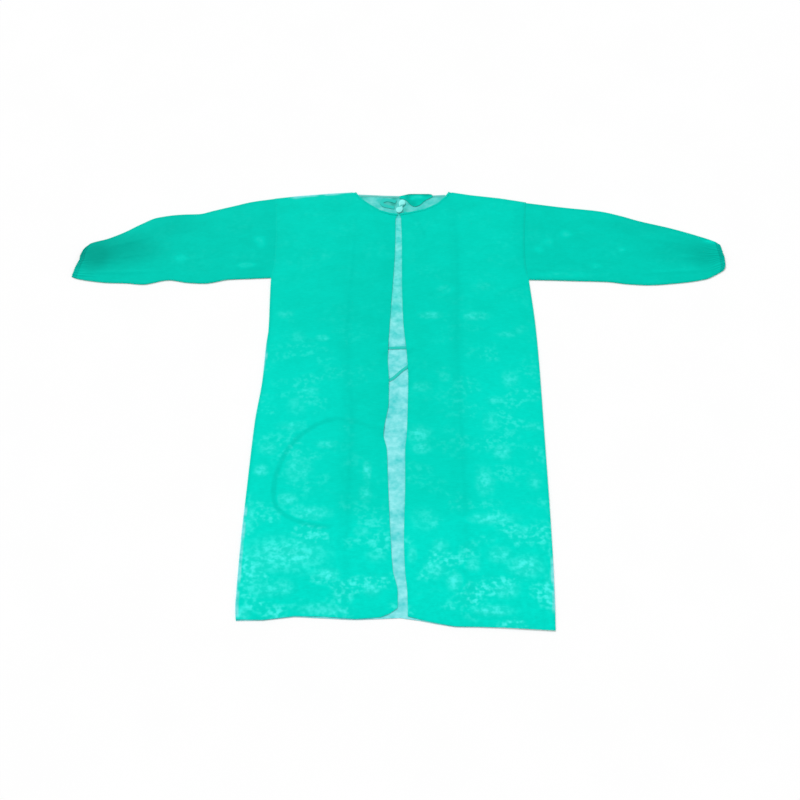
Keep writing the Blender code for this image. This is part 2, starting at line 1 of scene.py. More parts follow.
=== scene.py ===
"""A disposable visitor gown of spunbonded polypropylene, laid flat with its opening up.

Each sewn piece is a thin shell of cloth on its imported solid. Units are metres, +Z is up,
the neck points along +Y and the sleeves run along X.
"""

import math
from collections import namedtuple

import bmesh
import bpy
import numpy as np
from mathutils import Matrix, Vector


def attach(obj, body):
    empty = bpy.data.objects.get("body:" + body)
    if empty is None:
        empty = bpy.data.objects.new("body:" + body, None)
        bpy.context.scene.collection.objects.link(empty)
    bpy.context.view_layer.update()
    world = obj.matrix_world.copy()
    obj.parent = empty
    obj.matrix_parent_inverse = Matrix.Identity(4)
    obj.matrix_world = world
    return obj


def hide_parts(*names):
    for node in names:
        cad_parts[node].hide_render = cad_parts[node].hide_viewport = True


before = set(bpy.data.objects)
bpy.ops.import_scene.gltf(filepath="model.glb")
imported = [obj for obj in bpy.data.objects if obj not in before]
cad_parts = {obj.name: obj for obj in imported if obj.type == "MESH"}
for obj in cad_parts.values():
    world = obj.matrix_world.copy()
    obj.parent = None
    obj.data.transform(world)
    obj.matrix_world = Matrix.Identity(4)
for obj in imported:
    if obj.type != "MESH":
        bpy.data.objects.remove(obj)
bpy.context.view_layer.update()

# Layers of the laid gown, as its solids have them
WALL = 0.0010
SEAM_GAP = 0.0003
LAYER_FLOOR = WALL + SEAM_GAP           # underside of a layer that lies on the front panel
TIE_CLEARANCE = 2 * WALL + 2 * SEAM_GAP  # underside of a layer that also covers a tie
SEAM_SLOPE = 0.035
MOST_LIFT = 0.0048
CREASE_HALF_WIDTH = 0.010
BINDING_WIDTH = 0.006
BINDING_GAP = 0.00045
TIE_WIDTH = 0.0075
NECK_TIE_WIDTH = 0.006
LOOP_WIDTH = 0.0105
KNOT_RADII = (0.0085, 0.0225, 0.0021)
KNOT_CENTRE = (0.0020, 0.5450)
KNOT_LEAN = math.radians(-18.5)
KNOT_WAIST = 0.5
UNDERARM_Y = 0.310
FOLD_RADIUS = 0.0011
ARMHOLE_BLEND = 0.08
PUFF_EDGE = 0.12
SLEEVE_PUFF = 0.0013
CUFF_LENGTH = 0.0125

# The cloth that shows
CLOTH = 0.0005              # one layer, felted thick enough to shade well
CLOTH_LIFT = 0.00025        # keeps the thin shell in the middle of its solid's wall
SEWN_GAP = 0.00005          # between two pieces that a seam joins
FREE_EDGE = 0.030           # the free edges sink onto the front panel over this width
OVER_TIE = (0.008, 0.020)   # except this near a hidden tie
CREASE_SHARE = 0.38         # height of a packing crease in the cloth, of the solid's
CRUMPLE = 0.0008            # height of the fine crumples of the panels
SLEEVE_CRUMPLE = 0.0008
FRONT_CRUMPLE = 0.00016     # of the single layer that shows in the opening
TIE_RIDGE = 0.00025         # how far a hidden tie lifts the layer over it
ARMHOLE_EASE = 0.045        # a sleeve comes level with the body over this length
SLEEVE_DEPTH = 0.18         # how much deeper the sleeves' tone is than the chest's
GATHERS = 17                # small gathers of the upper layer at a wrist
GATHER_HEIGHT = 0.0012
GATHER_REACH = 0.075
TIE_CUT = 0.010             # waist ties are cut this wide and lie creased
TAPE_CUT = 0.0135           # neck tape and neck ties are cut this wide and folded double
LOOP_CUT = 0.0210           # the left loop of the bow, folded double
TAPE_HALF_GAP = 0.0003      # from the middle of a folded tape to the middle of either skin
TIE_HALF_GAP = 0.00027      # the same where a tie's end lies pressed flat
PANEL_STEP = 0.0036         # spacing of a panel's points
SLEEVE_STEP = 0.0042
TIE_STEP = 0.008            # and of the points that mark a hidden tie
STRIP_STEP = 0.003          # and of the sections of a waist tie or neck tape
NECK_TIE_STEP = 0.002
NOISE_CELLS = 128           # the noise repeats after this many lumps
CREASE_SHADE = 0.75         # painted shade: how much darker the darkest stretch of a packing crease is
CREASE_SHADE_WIDTH = 0.016
RIM_SHADE = 0.20            # painted shade: how much darker the cloth is where it rolls under at an edge
RIM_WIDTH = 0.005
TIE_PLEAT = 0.00032         # height of a waist tie's creases, and of its crumples
TIE_CRUMPLE = 0.00009
LOOP_CRUMPLE = 0.0004       # of the bow's opened loop
RUFFLE = 0.0006             # small scallops of a wrist edge, over its last millimetres
RUFFLE_DEPTH = 0.008
ELASTIC_RISE = 0.00018      # a wrist band bulges this far on both sides of its elastic
TAPE_MIDDLE = 0.0007        # middle of a folded neck tape above its solid's underside
FRONT_TAPE_FLOOR = -0.0002  # the front tape lies this much lower in its solid
WELD_MM = 2.4               # spacing of the weld points

# Columns of a back panel: opening to crease, over the crease, and crease to side
INNER_COLUMNS, CREASE_COLUMNS, OUTER_COLUMNS = 31, 7, 54
BELOW_UNDERARM, ABOVE_UNDERARM = 0.875, 0.27    # about how long it is, for its rows
# Columns of the front panel beside the opening and in it, and its rows
FRONT_SIDE_COLUMNS, FRONT_STRIP_COLUMNS, FRONT_ROWS = 27, 48, 300
# Points round a sleeve: underneath, at each folded edge, and on top
UNDER_POINTS, EDGE_POINTS, OVER_POINTS = 46, 5, 132
CUFF_ROWS = 13

# How far in from its edge each line of stitches runs
SIDE_STITCH = 0.0032
ARMHOLE_STITCH = 0.0026
SHOULDER_STITCH = 0.0030
SLEEVE_STITCH = 0.0034
TAPE_STITCH = 0.0044
CUFF_STITCHES = (0.0025, 0.0095)
# How far stitches stand up from a back panel, a sleeve or neck tape, and a wrist band
PANEL_STITCH_LIFT, STITCH_LIFT, CUFF_STITCH_LIFT = 0.00006, 0.0001, 0.0002

# The stage
FLOOR_REACH, FLOOR_Z = 40.0, -0.0004
SKY_STRENGTH, WINDOW_STRENGTH = 0.655, 1.71
LENS_MM = 44.2575
CAMERA_DOWN = math.radians(63)
CAMERA_DISTANCE = 2.373
AIM_Y = -0.036              # the camera looks at this point of the middle line

SideRow = namedtuple("SideRow", "y left right")
SIDES = [SideRow(*row) for row in [
    (-0.594, -0.353, 0.335), (-0.531, -0.359, 0.338), (-0.413, -0.358, 0.341),
    (-0.261, -0.353, 0.342), (-0.095, -0.346, 0.342), (0.019, -0.335, 0.342),
    (0.117, -0.332, 0.341), (0.161, -0.329, 0.340), (0.310, -0.332, 0.331), (0.373, -0.327, 0.326),
    (0.436, -0.327, 0.328), (0.500, -0.331, 0.333), (0.575, -0.337, 0.340),
]]
OpeningRow = namedtuple("OpeningRow", "y left right")
OPENING = [OpeningRow(*row) for row in [
    (-0.565, -0.005, 0.017), (-0.510, -0.005, 0.016), (-0.459, -0.016, 0.011),
    (-0.389, -0.021, 0.009), (-0.244, -0.028, 0.012), (-0.168, -0.031, 0.012),
    (-0.128, -0.039, 0.016), (-0.036, -0.027, 0.019), (0.016, -0.027, 0.020),
    (0.075, -0.030, 0.018), (0.190, -0.025, 0.008), (0.310, -0.018, 0.005), (0.404, -0.013, 0.005),
    (0.500, -0.012, 0.003), (0.521, -0.006, -0.001),
]]
# Packing creases: y, x of the left and right crease, their height, and the painted shade in the
# left and right crease
CreaseRow = namedtuple("CreaseRow", "y left right height left_dark right_dark")
CREASES = [CreaseRow(*row) for row in [
    (-0.594, -0.127, 0.148, 0.0006, 0.05, 0.08), (-0.342, -0.125, 0.146, 0.0012, 0.13, 0.15),
    (-0.090, -0.119, 0.141, 0.0014, 0.16, 0.13), (0.117, -0.136, 0.138, 0.0010, 0.12, 0.21),
    (0.389, -0.126, 0.145, 0.0014, 0.04, 0.17), (0.594, -0.119, 0.131, 0.0, 0.00, 0.05),
]]
LEFT_HEM = [
    (-0.359, -0.570), (-0.298, -0.571), (-0.228, -0.5625), (-0.163, -0.5640),
    (-0.098, -0.569), (-0.043, -0.5655), (-0.022, -0.557), (-0.005, -0.545),
]
RIGHT_HEM = [
    (0.015, -0.563), (0.043, -0.5700), (0.076, -0.5775), (0.119, -0.585),
    (0.173, -0.586), (0.227, -0.588), (0.334, -0.594),
]
FRONT_HEM = [
    (-0.356, -0.5725), (-0.298, -0.5720), (-0.228, -0.5640), (-0.098, -0.5705),
    (-0.043, -0.5685), (0.000, -0.5665), (0.043, -0.5725), (0.076, -0.5790), (0.119, -0.5860),
    (0.227, -0.5875), (0.334, -0.5925),
]
LEFT_NECK = [
    (-0.119, 0.593), (-0.105, 0.572), (-0.081, 0.551), (-0.053, 0.532),
    (-0.027, 0.523), (-0.006, 0.521),
]
RIGHT_NECK = [
    (-0.001, 0.521), (0.027, 0.526), (0.067, 0.536), (0.101, 0.555),
    (0.121, 0.577), (0.131, 0.594),
]
FRONT_NECK = [(-0.112, 0.586), (-0.040, 0.582), (0.000, 0.581), (0.060, 0.581), (0.122, 0.585)]
LEFT_SHOULDER = [(-0.338, 0.571), (-0.270, 0.580), (-0.189, 0.588), (-0.119, 0.593)]
RIGHT_SHOULDER = [(0.131, 0.594), (0.189, 0.583), (0.269, 0.572), (0.341, 0.558)]

# Sleeves: distance from the middle of the gown, lower edge and upper edge
SleeveRow = namedtuple("SleeveRow", "out low high")
LEFT_SLEEVE = [SleeveRow(*row) for row in [
    (0.333, 0.316, 0.571), (0.399, 0.313, 0.560), (0.438, 0.311, 0.549), (0.501, 0.299, 0.531),
    (0.540, 0.301, 0.520), (0.590, 0.309, 0.518), (0.655, 0.296, 0.508), (0.700, 0.300, 0.485),
    (0.740, 0.301, 0.460), (0.784, 0.306, 0.4385), (0.824, 0.314, 0.425), (0.837, 0.320, 0.412),
]]
RIGHT_SLEEVE = [SleeveRow(*row) for row in [
    (0.333, 0.310, 0.557), (0.381, 0.309, 0.550), (0.442, 0.307, 0.541), (0.534, 0.304, 0.529),
    (0.587, 0.297, 0.5145), (0.638, 0.294, 0.4965), (0.719, 0.300, 0.473), (0.791, 0.312, 0.447),
    (0.830, 0.332, 0.430), (0.8425, 0.3405, 0.4195),
]]

# Slant of a wrist edge: share of the sleeve's width, and how far it stands out there
LEFT_WRIST = [
    (0.00, 0.0085), (0.12, 0.0062), (0.26, 0.0042), (0.47, -0.0014), (0.56, -0.0044),
    (0.70, -0.0042), (0.83, -0.0070), (0.93, -0.0105), (1.00, -0.0140),
]
RIGHT_WRIST = [
    (0.00, -0.0050), (0.15, 0.0002), (0.50, 0.0014), (0.62, -0.0004), (1.00, -0.0030),
]

# Folds and creases: a ridge between two points, its height (negative for a trough) and half width.
# The broad ones are the solids' own, and the narrow ones are the cloth's.
Fold = namedtuple("Fold", "x0 y0 x1 y1 height half_width")
BODY_FOLDS = [Fold(*row) for row in [
    (-0.300, 0.250, -0.060, 0.200, 0.0006, 0.045), (-0.310, -0.440, -0.050, -0.500, 0.0010, 0.040),
    (-0.210, -0.020, -0.090, -0.230, 0.0007, 0.050), (-0.270, 0.470, -0.100, 0.430, 0.0006, 0.040),
    (0.060, 0.300, 0.300, 0.220, 0.0007, 0.045), (0.080, -0.100, 0.290, -0.160, 0.0008, 0.050),
    (0.230, -0.250, 0.260, -0.540, 0.0010, 0.040), (0.060, -0.380, 0.200, -0.470, 0.0007, 0.040),
    (0.200, 0.500, 0.290, 0.400, 0.0006, 0.035),
]]
BODY_CREASES = [Fold(*row) for row in [
    (-0.322, 0.296, -0.232, 0.262, 0.0007, 0.008), (-0.318, 0.330, -0.262, 0.372, -0.0004, 0.009),
    (-0.252, 0.142, -0.162, 0.128, 0.0006, 0.007), (-0.305, 0.060, -0.236, 0.082, 0.0005, 0.009),
    (-0.252, -0.012, -0.188, -0.030, 0.0006, 0.006),
    (-0.292, -0.104, -0.226, -0.112, 0.0007, 0.007),
    (-0.196, -0.152, -0.148, -0.166, 0.0006, 0.006),
    (-0.262, -0.202, -0.214, -0.246, 0.0005, 0.008),
    (-0.082, -0.196, -0.074, -0.300, 0.0006, 0.008),
    (-0.252, -0.322, -0.162, -0.338, 0.0007, 0.009),
    (-0.322, -0.398, -0.196, -0.418, 0.0008, 0.008),
    (-0.282, -0.446, -0.150, -0.478, 0.0008, 0.007),
    (-0.338, -0.500, -0.252, -0.516, 0.0007, 0.008),
    (-0.132, -0.500, -0.058, -0.524, 0.0006, 0.008),
    (-0.216, -0.548, -0.122, -0.542, 0.0006, 0.006), (-0.098, 0.412, -0.052, 0.330, 0.0004, 0.009),
    (0.324, 0.300, 0.226, 0.262, 0.0007, 0.008), (0.316, 0.362, 0.256, 0.396, -0.0004, 0.009),
    (0.048, 0.208, 0.108, 0.196, 0.0006, 0.006), (0.166, 0.194, 0.222, 0.206, 0.0006, 0.006),
    (0.196, 0.292, 0.226, 0.282, 0.0005, 0.008), (0.238, 0.142, 0.312, 0.160, 0.0005, 0.007),
    (0.204, -0.030, 0.252, -0.046, 0.0006, 0.006), (0.034, -0.118, 0.072, -0.172, 0.0007, 0.009),
    (0.214, -0.080, 0.226, -0.190, 0.0006, 0.008), (0.190, -0.232, 0.204, -0.262, 0.0006, 0.007),
    (0.168, -0.334, 0.252, -0.348, 0.0009, 0.007), (0.212, -0.366, 0.292, -0.374, 0.0006, 0.007),
    (0.062, -0.432, 0.096, -0.480, 0.0007, 0.009), (0.262, -0.440, 0.306, -0.466, 0.0008, 0.009),
    (0.202, -0.492, 0.250, -0.518, 0.0008, 0.009), (0.166, -0.548, 0.232, -0.556, 0.0007, 0.007),
    (0.326, -0.478, 0.322, -0.548, 0.0006, 0.008), (0.098, 0.470, 0.062, 0.398, 0.0004, 0.009),
]]
LEFT_SLEEVE_FOLDS = [Fold(*row) for row in [
    (-0.450, 0.480, -0.600, 0.420, 0.0007, 0.030), (-0.560, 0.360, -0.740, 0.340, 0.0008, 0.022),
    (-0.690, 0.440, -0.800, 0.390, 0.0009, 0.018),
]]
LEFT_SLEEVE_CREASES = [Fold(*row) for row in [
    (-0.350, 0.352, -0.442, 0.346, 0.0007, 0.006), (-0.362, 0.332, -0.412, 0.326, 0.0005, 0.005),
    (-0.362, 0.420, -0.420, 0.446, 0.0005, 0.009), (-0.490, 0.392, -0.556, 0.366, 0.0005, 0.008),
    (-0.556, 0.470, -0.622, 0.452, 0.0005, 0.009), (-0.612, 0.334, -0.806, 0.330, 0.0010, 0.006),
    (-0.652, 0.392, -0.742, 0.378, 0.0006, 0.006), (-0.668, 0.440, -0.760, 0.414, 0.0007, 0.007),
    (-0.716, 0.364, -0.790, 0.366, 0.0006, 0.005),
]]
RIGHT_SLEEVE_FOLDS = [Fold(*row) for row in [
    (0.420, 0.400, 0.580, 0.460, 0.0007, 0.030), (0.580, 0.350, 0.740, 0.330, 0.0008, 0.022),
    (0.660, 0.450, 0.800, 0.400, 0.0009, 0.018),
]]
RIGHT_SLEEVE_CREASES = [Fold(*row) for row in [
    (0.350, 0.346, 0.436, 0.336, 0.0007, 0.006), (0.360, 0.404, 0.402, 0.432, 0.0006, 0.008),
    (0.430, 0.456, 0.470, 0.446, 0.0006, 0.008), (0.492, 0.356, 0.560, 0.348, 0.0005, 0.007),
    (0.560, 0.404, 0.620, 0.396, 0.0006, 0.007), (0.626, 0.328, 0.806, 0.340, 0.0009, 0.006),
    (0.640, 0.440, 0.728, 0.424, 0.0006, 0.008), (0.700, 0.380, 0.796, 0.376, 0.0007, 0.006),
]]

# Routes of the ties, seen from above
LEFT_WAIST_ROUTE = [
    (-0.042, -0.1145), (-0.071, -0.109), (-0.096, -0.098), (-0.130, -0.090), (-0.163, -0.0905),
    (-0.188, -0.099), (-0.213, -0.113), (-0.242, -0.138), (-0.265, -0.170), (-0.279, -0.203),
    (-0.289, -0.240), (-0.291, -0.272), (-0.286, -0.301), (-0.2775, -0.3175), (-0.260, -0.332),
    (-0.232, -0.345), (-0.197, -0.355), (-0.158, -0.358),
]
RIGHT_WAIST_ROUTE = [
    (0.022, 0.1090), (-0.010, 0.1080), (-0.040, 0.1060), (-0.056, 0.092), (-0.061, 0.066),
    (-0.055, 0.034), (-0.038, 0.0165), (-0.018, 0.022), (0.004, 0.043), (0.027, 0.060),
    (0.070, 0.079), (0.118, 0.078), (0.165, 0.054), (0.200, 0.014), (0.222, -0.040),
    (0.232, -0.095), (0.230, -0.140),
]
LEFT_NECK_ROUTE = [
    (-0.0110, 0.5600), (-0.0220, 0.5640), (-0.0380, 0.5660), (-0.0490, 0.5590), (-0.0440, 0.5490),
    (-0.0290, 0.5440), (-0.0150, 0.5410),
]
NECK_END_ROUTE = [
    (0.0105, 0.5290), (0.028, 0.5140), (0.046, 0.4960), (0.057, 0.4700), (0.066, 0.4430),
]

# The right loop of the neck bow lies opened out: its lower and upper edge, outwards from the knot
LoopRow = namedtuple("LoopRow", "x low high")
OPENED_LOOP = [LoopRow(*row) for row in [
    (-0.0020, 0.5720, 0.5795), (0.0090, 0.5695, 0.5825), (0.0170, 0.5645, 0.5850),
    (0.0230, 0.5570, 0.5865), (0.0290, 0.5500, 0.5872), (0.0400, 0.5440, 0.5873),
    (0.0520, 0.5490, 0.5872), (0.0650, 0.5622, 0.5872), (0.0780, 0.5712, 0.5868),
    (0.0850, 0.5755, 0.5852), (0.0880, 0.5785, 0.5825),
]]
LOOP_CREASES = [Fold(*row) for row in [
    (0.010, 0.577, 0.078, 0.5830, 0.0006, 0.0035), (0.014, 0.571, 0.050, 0.5750, -0.0003, 0.0030),
    (0.018, 0.566, 0.066, 0.5690, 0.0005, 0.0030), (0.022, 0.560, 0.044, 0.5520, 0.0005, 0.0025),
]]

# Thin, whitish places of the upper layers, and darker ones with a strength below 0
Patch = namedtuple("Patch", "x y half_width half_height strength")
PATCHES = [Patch(*row) for row in [
    (-0.193, 0.135, 0.012, 0.007, 0.55), (-0.254, 0.137, 0.015, 0.014, 0.22),
    (-0.288, 0.205, 0.015, 0.009, 0.28), (-0.218, -0.014, 0.019, 0.008, 0.45),
    (-0.248, -0.050, 0.017, 0.022, 0.26), (-0.257, -0.108, 0.026, 0.009, 0.52),
    (-0.308, -0.165, 0.019, 0.013, 0.45), (-0.323, -0.221, 0.012, 0.010, 0.81),
    (-0.172, -0.155, 0.019, 0.008, 0.52), (-0.237, -0.219, 0.023, 0.025, 0.54),
    (-0.077, -0.224, 0.007, 0.020, 0.72), (-0.080, -0.281, 0.011, 0.017, 0.45),
    (-0.259, -0.293, 0.018, 0.012, 0.63), (-0.205, -0.327, 0.034, 0.012, 0.81),
    (-0.257, -0.425, 0.067, 0.030, 0.95), (-0.161, -0.471, 0.022, 0.011, 1.00),
    (-0.303, -0.504, 0.026, 0.014, 0.60), (-0.257, -0.500, 0.018, 0.014, 0.60),
    (-0.062, -0.504, 0.013, 0.011, 0.90), (-0.168, -0.549, 0.039, 0.011, 0.80),
    (-0.343, -0.558, 0.013, 0.011, 1.00), (-0.086, -0.371, 0.014, 0.010, 0.45),
    (-0.051, -0.425, 0.018, 0.012, 0.40), (-0.341, -0.335, 0.009, 0.029, 0.63),
    (-0.325, -0.471, 0.018, 0.023, 0.60), (0.076, 0.202, 0.025, 0.009, 0.50),
    (0.189, 0.199, 0.025, 0.009, 0.50), (0.210, 0.289, 0.021, 0.009, 0.19),
    (0.115, 0.280, 0.020, 0.012, 0.19), (0.267, 0.146, 0.020, 0.007, 0.28),
    (0.303, 0.161, 0.013, 0.009, 0.22), (0.053, -0.001, 0.017, 0.011, 0.45),
    (0.110, 0.027, 0.012, 0.011, 0.30), (0.268, 0.019, 0.015, 0.017, 0.45),
    (0.232, -0.039, 0.017, 0.008, 0.52), (0.045, -0.129, 0.021, 0.016, 0.64),
    (0.049, -0.165, 0.016, 0.010, 0.68), (0.219, -0.095, 0.017, 0.021, 0.38),
    (0.240, -0.173, 0.016, 0.015, 0.68), (0.197, -0.249, 0.016, 0.025, 0.63),
    (0.319, -0.108, 0.014, 0.008, 0.45), (0.310, -0.249, 0.012, 0.015, 0.45),
    (0.209, -0.340, 0.041, 0.010, 0.90), (0.271, -0.371, 0.023, 0.010, 0.54),
    (0.057, -0.342, 0.023, 0.019, 0.36), (0.090, -0.406, 0.013, 0.012, 0.60),
    (0.078, -0.459, 0.018, 0.014, 0.90), (0.160, -0.448, 0.013, 0.012, 0.70),
    (0.223, -0.425, 0.018, 0.014, 0.70), (0.280, -0.452, 0.029, 0.018, 0.90),
    (0.231, -0.504, 0.020, 0.014, 1.00), (0.121, -0.486, 0.013, 0.016, 0.90),
    (0.200, -0.551, 0.033, 0.009, 0.90), (0.327, -0.509, 0.007, 0.027, 0.90),
    (0.027, -0.425, 0.007, 0.014, 0.60), (-0.399, 0.354, 0.018, 0.008, 0.44),
    (-0.370, 0.436, 0.011, 0.010, 0.28), (-0.570, 0.377, 0.013, 0.009, 0.28),
    (0.437, 0.453, 0.013, 0.010, 0.33), (0.389, 0.425, 0.011, 0.010, 0.28),
    (0.364, 0.404, 0.010, 0.010, 0.22), (0.509, 0.353, 0.010, 0.006, 0.33),
    (0.579, 0.402, 0.008, 0.006, 0.28), (0.817, 0.430, 0.016, 0.006, 0.44),
    (0.415, 0.326, 0.052, 0.008, 0.28), (-0.195, 0.382, 0.010, 0.009, 0.17),
    (-0.362, 0.420, 0.010, 0.010, 0.22), (-0.740, 0.405, 0.100, 0.050, -0.55),
    (-0.800, 0.375, 0.040, 0.045, -0.45), (-0.600, 0.480, 0.070, 0.030, -0.20),
    (0.750, 0.405, 0.090, 0.050, -0.24), (0.800, 0.385, 0.040, 0.040, -0.28),
    (0.640, 0.480, 0.080, 0.025, -0.20), (-0.045, 0.270, 0.120, 0.200, -0.10),
]]

# Shade of the bow on the layer behind it
NECK_SHADES = [Patch(*row) for row in [
    (-0.0160, 0.5600, 0.0070, 0.0170, 0.75), (-0.0030, 0.5780, 0.0230, 0.0060, 0.75),
    (-0.0320, 0.5560, 0.0180, 0.0120, 0.60), (-0.0450, 0.5660, 0.0060, 0.0060, 0.40),
    (-0.1000, 0.5800, 0.0150, 0.0110, 0.55), (0.1180, 0.5800, 0.0110, 0.0090, 0.35),
    (0.0140, 0.5330, 0.0080, 0.0080, 0.60), (0.0000, 0.5220, 0.0050, 0.0050, 0.60),
    (0.0300, 0.5560, 0.0200, 0.0120, 0.30),
]]
# Lighter and darker places of the bow's opened right loop
LOOP_SHADES = [Patch(*row) for row in [
    (0.0450, 0.5875, 0.0480, 0.0060, 1.10), (0.0210, 0.5700, 0.0070, 0.0140, 0.50),
    (0.0350, 0.5540, 0.0090, 0.0120, 0.50), (0.0500, 0.5790, 0.0120, 0.0050, -0.50),
    (0.0330, 0.5720, 0.0060, 0.0070, -0.25), (0.0570, 0.5640, 0.0100, 0.0060, 0.15),
    (0.0700, 0.5790, 0.0090, 0.0050, 0.20),
]]

# Edges where the layer underneath shows a little past the upper one, as a pale line
PaleEdge = namedtuple("PaleEdge", "edge start end width")
PALE_EDGES = [PaleEdge(*row) for row in [
    ("left_side", 0.040, 0.130, 0.0045), ("left_side", -0.575, -0.300, 0.0060),
    ("right_side", -0.560, -0.425, 0.0055), ("left_shoulder", -0.300, -0.125, 0.0060),
]]


def smooth_through(stations, values):
    """A smooth curve through a table's values, which doesn't swing past them."""
    stations, values = np.array(stations, float), np.array(values, float)
    steps = np.diff(stations)
    slopes = np.diff(values) / steps
    before, after = slopes[:-1], slopes[1:]
    same_way = before * after > 0
    total = np.where(same_way, before + after, 1.0)
    middle = np.where(same_way, 2 * before * after / total, 0.0)
    tangents = np.concatenate([slopes[:1], middle, slopes[-1:]])

    def value_at(place):
        place = np.clip(place, stations[0], stations[-1])
        i = np.clip(np.searchsorted(stations, place, side="right") - 1, 0, len(steps) - 1)
        t = (place - stations[i]) / steps[i]
        start = values[i] * (1 + 2 * t) * (1 - t) ** 2 + values[i + 1] * t * t * (3 - 2 * t)
        bend = tangents[i] * t * (1 - t) ** 2 + tangents[i + 1] * t * t * (t - 1)
        return start + steps[i] * bend

    return value_at


def column(rows, name, by="y"):
    """The smooth curve of one column of a table, by another of its columns."""
    return smooth_through([getattr(row, by) for row in rows], [getattr(row, name) for row in rows])


def edge_height(points):
    """y along an edge that is given by points in order of x."""
    xs, ys = zip(*points)
    return lambda x: np.interp(x, xs, ys)


def ease(value):
    """0 to 1, level at both ends."""
    value = np.clip(value, 0.0, 1.0)
    return value * value * (3 - 2 * value)


def soft_noise(x, y, cell, seed):
    """Smooth noise from -1 to 1, in lumps about one cell wide, turned so that no grid shows."""
    table = np.random.default_rng(seed).uniform(-1, 1, (NOISE_CELLS, NOISE_CELLS))
    turn = 0.7 + seed
    u = (x * math.cos(turn) - y * math.sin(turn)) / cell
    v = (x * math.sin(turn) + y * math.cos(turn)) / cell
    i, j = np.floor(u).astype(int), np.floor(v).astype(int)
    s, t = (share ** 3 * (share * (6 * share - 15) + 10) for share in (u - i, v - j))
    i, j, i1, j1 = (place % NOISE_CELLS for place in (i, j, i + 1, j + 1))
    low = table[i, j] * (1 - s) + table[i1, j] * s
    high = table[i, j1] * (1 - s) + table[i1, j1] * s
    return low * (1 - t) + high * t


def crumple(x, y, seed):
    """0 to 1: fine crumples, longer across the gown than along it, with a few sharper ridges."""
    wander = 0.012 * soft_noise(x, y, 0.06, seed + 3)
    broad = soft_noise(x / 1.8, y + wander, 0.030, seed)
    fine = soft_noise(x / 1.5, y - wander, 0.013, seed + 1)
    ridges = 1 - 2 * np.abs(soft_noise(x / 1.6, y + wander, 0.024, seed + 2))
    return np.clip(0.46 + 0.24 * broad + 0.13 * fine + 0.14 * ridges, 0, 1)


def off_step(x, y, x0, y0, x1, y1):
    """Each point's share of the way along a straight step, and its distance from the step."""
    run_x, run_y = x1 - x0, y1 - y0
    along = ((x - x0) * run_x + (y - y0) * run_y) / (run_x ** 2 + run_y ** 2)
    held = np.clip(along, 0, 1)
    return along, np.hypot(x - x0 - held * run_x, y - y0 - held * run_y)


def shade_beside(distance, width):
    """1 on a line, dying away softly over a width on both sides."""
    return np.exp(-((distance / width) ** 2))


def fold_lift(folds, x, y):
    """Height that folds and creases add at each point; the ends of a crease die away."""
    lift = np.zeros_like(x)
    for fold in folds:
        along, distance = off_step(x, y, fold.x0, fold.y0, fold.x1, fold.y1)
        bow = 0.35 + 0.65 * np.sin(math.pi * np.clip(along, 0.08, 0.92))
        lift += fold.height * bow * shade_beside(distance, fold.half_width)
    return lift


def patch_strength(patches, x, y):
    """How strongly placed patches mark each point: whitish above 0, or dark below it."""
    tone = np.zeros_like(x)
    for patch in patches:
        across = (x - patch.x) / patch.half_width
        along = (y - patch.y) / patch.half_height
        tone += patch.strength * np.exp(-((across ** 2 + along ** 2) ** 1.4) / 1.6)
    return tone


def distance_to_line(x, y, line):
    """How far each point is from a line of short straight steps."""
    nearest = np.full(x.shape, np.inf)
    for start, end in zip(line[:-1], line[1:]):
        nearest = np.minimum(nearest, off_step(x, y, *start, *end)[1])
    return nearest


def respaced(points, step, spare=1):
    """Evenly spaced points along a line of short steps, and the line's length."""
    lengths = np.concatenate([[0.0], np.cumsum(np.linalg.norm(np.diff(points, axis=0), axis=1))])
    places = np.linspace(0, lengths[-1], round(lengths[-1] / step) + spare)
    line = np.stack([np.interp(places, lengths, points[:, i]) for i in (0, 1)], axis=1)
    return line, float(lengths[-1])


def route_line(route, step):
    """Evenly spaced points on a smooth curve through a route, and the curve's length."""
    points = np.array(route, float)
    ends = np.vstack([2 * points[0] - points[1], points, 2 * points[-1] - points[-2]])
    dense = []
    for before, here, there, after in zip(ends[:-3], ends[1:-2], ends[2:-1], ends[3:]):
        for t in np.linspace(0, 1, 16, endpoint=False):
            curve = 2 * here + (there - before) * t
            curve = curve + (2 * before - 5 * here + 4 * there - after) * t ** 2
            curve = curve + (3 * here - before - 3 * there + after) * t ** 3
            dense.append(curve / 2)
    return respaced(np.array(dense + [points[-1]]), step)


HiddenTie = namedtuple("HiddenTie", "line half_width darkness")
HIDDEN_TIES = [
    HiddenTie(route_line(route, TIE_STEP)[0], width / 2, darkness)
    for route, width, darkness in (
        (LEFT_WAIST_ROUTE, TIE_WIDTH, 0.24),
        (RIGHT_WAIST_ROUTE, TIE_WIDTH, 0.0),
        (NECK_END_ROUTE, NECK_TIE_WIDTH, 0.10),
    )
]

BackPanel = namedtuple(
    "BackPanel", "name outward side opening crease height dark neck shoulder hem corner_x"
)


def back_panel_shape(name, neck, shoulder, hem, corner_x):
    """The edges of one back panel as curves."""
    return BackPanel(
        name=name,
        outward=math.copysign(1, corner_x),
        side=column(SIDES, name),
        opening=column(OPENING, name),
        crease=column(CREASES, name),
        height=column(CREASES, "height"),
        dark=column(CREASES, name + "_dark"),
        neck=edge_height(neck),
        shoulder=edge_height(shoulder),
        hem=edge_height(hem),
        corner_x=corner_x,
    )


LEFT = back_panel_shape("left", LEFT_NECK, LEFT_SHOULDER, LEFT_HEM, -0.119)
RIGHT = back_panel_shape("right", RIGHT_NECK, RIGHT_SHOULDER, RIGHT_HEM, 0.131)


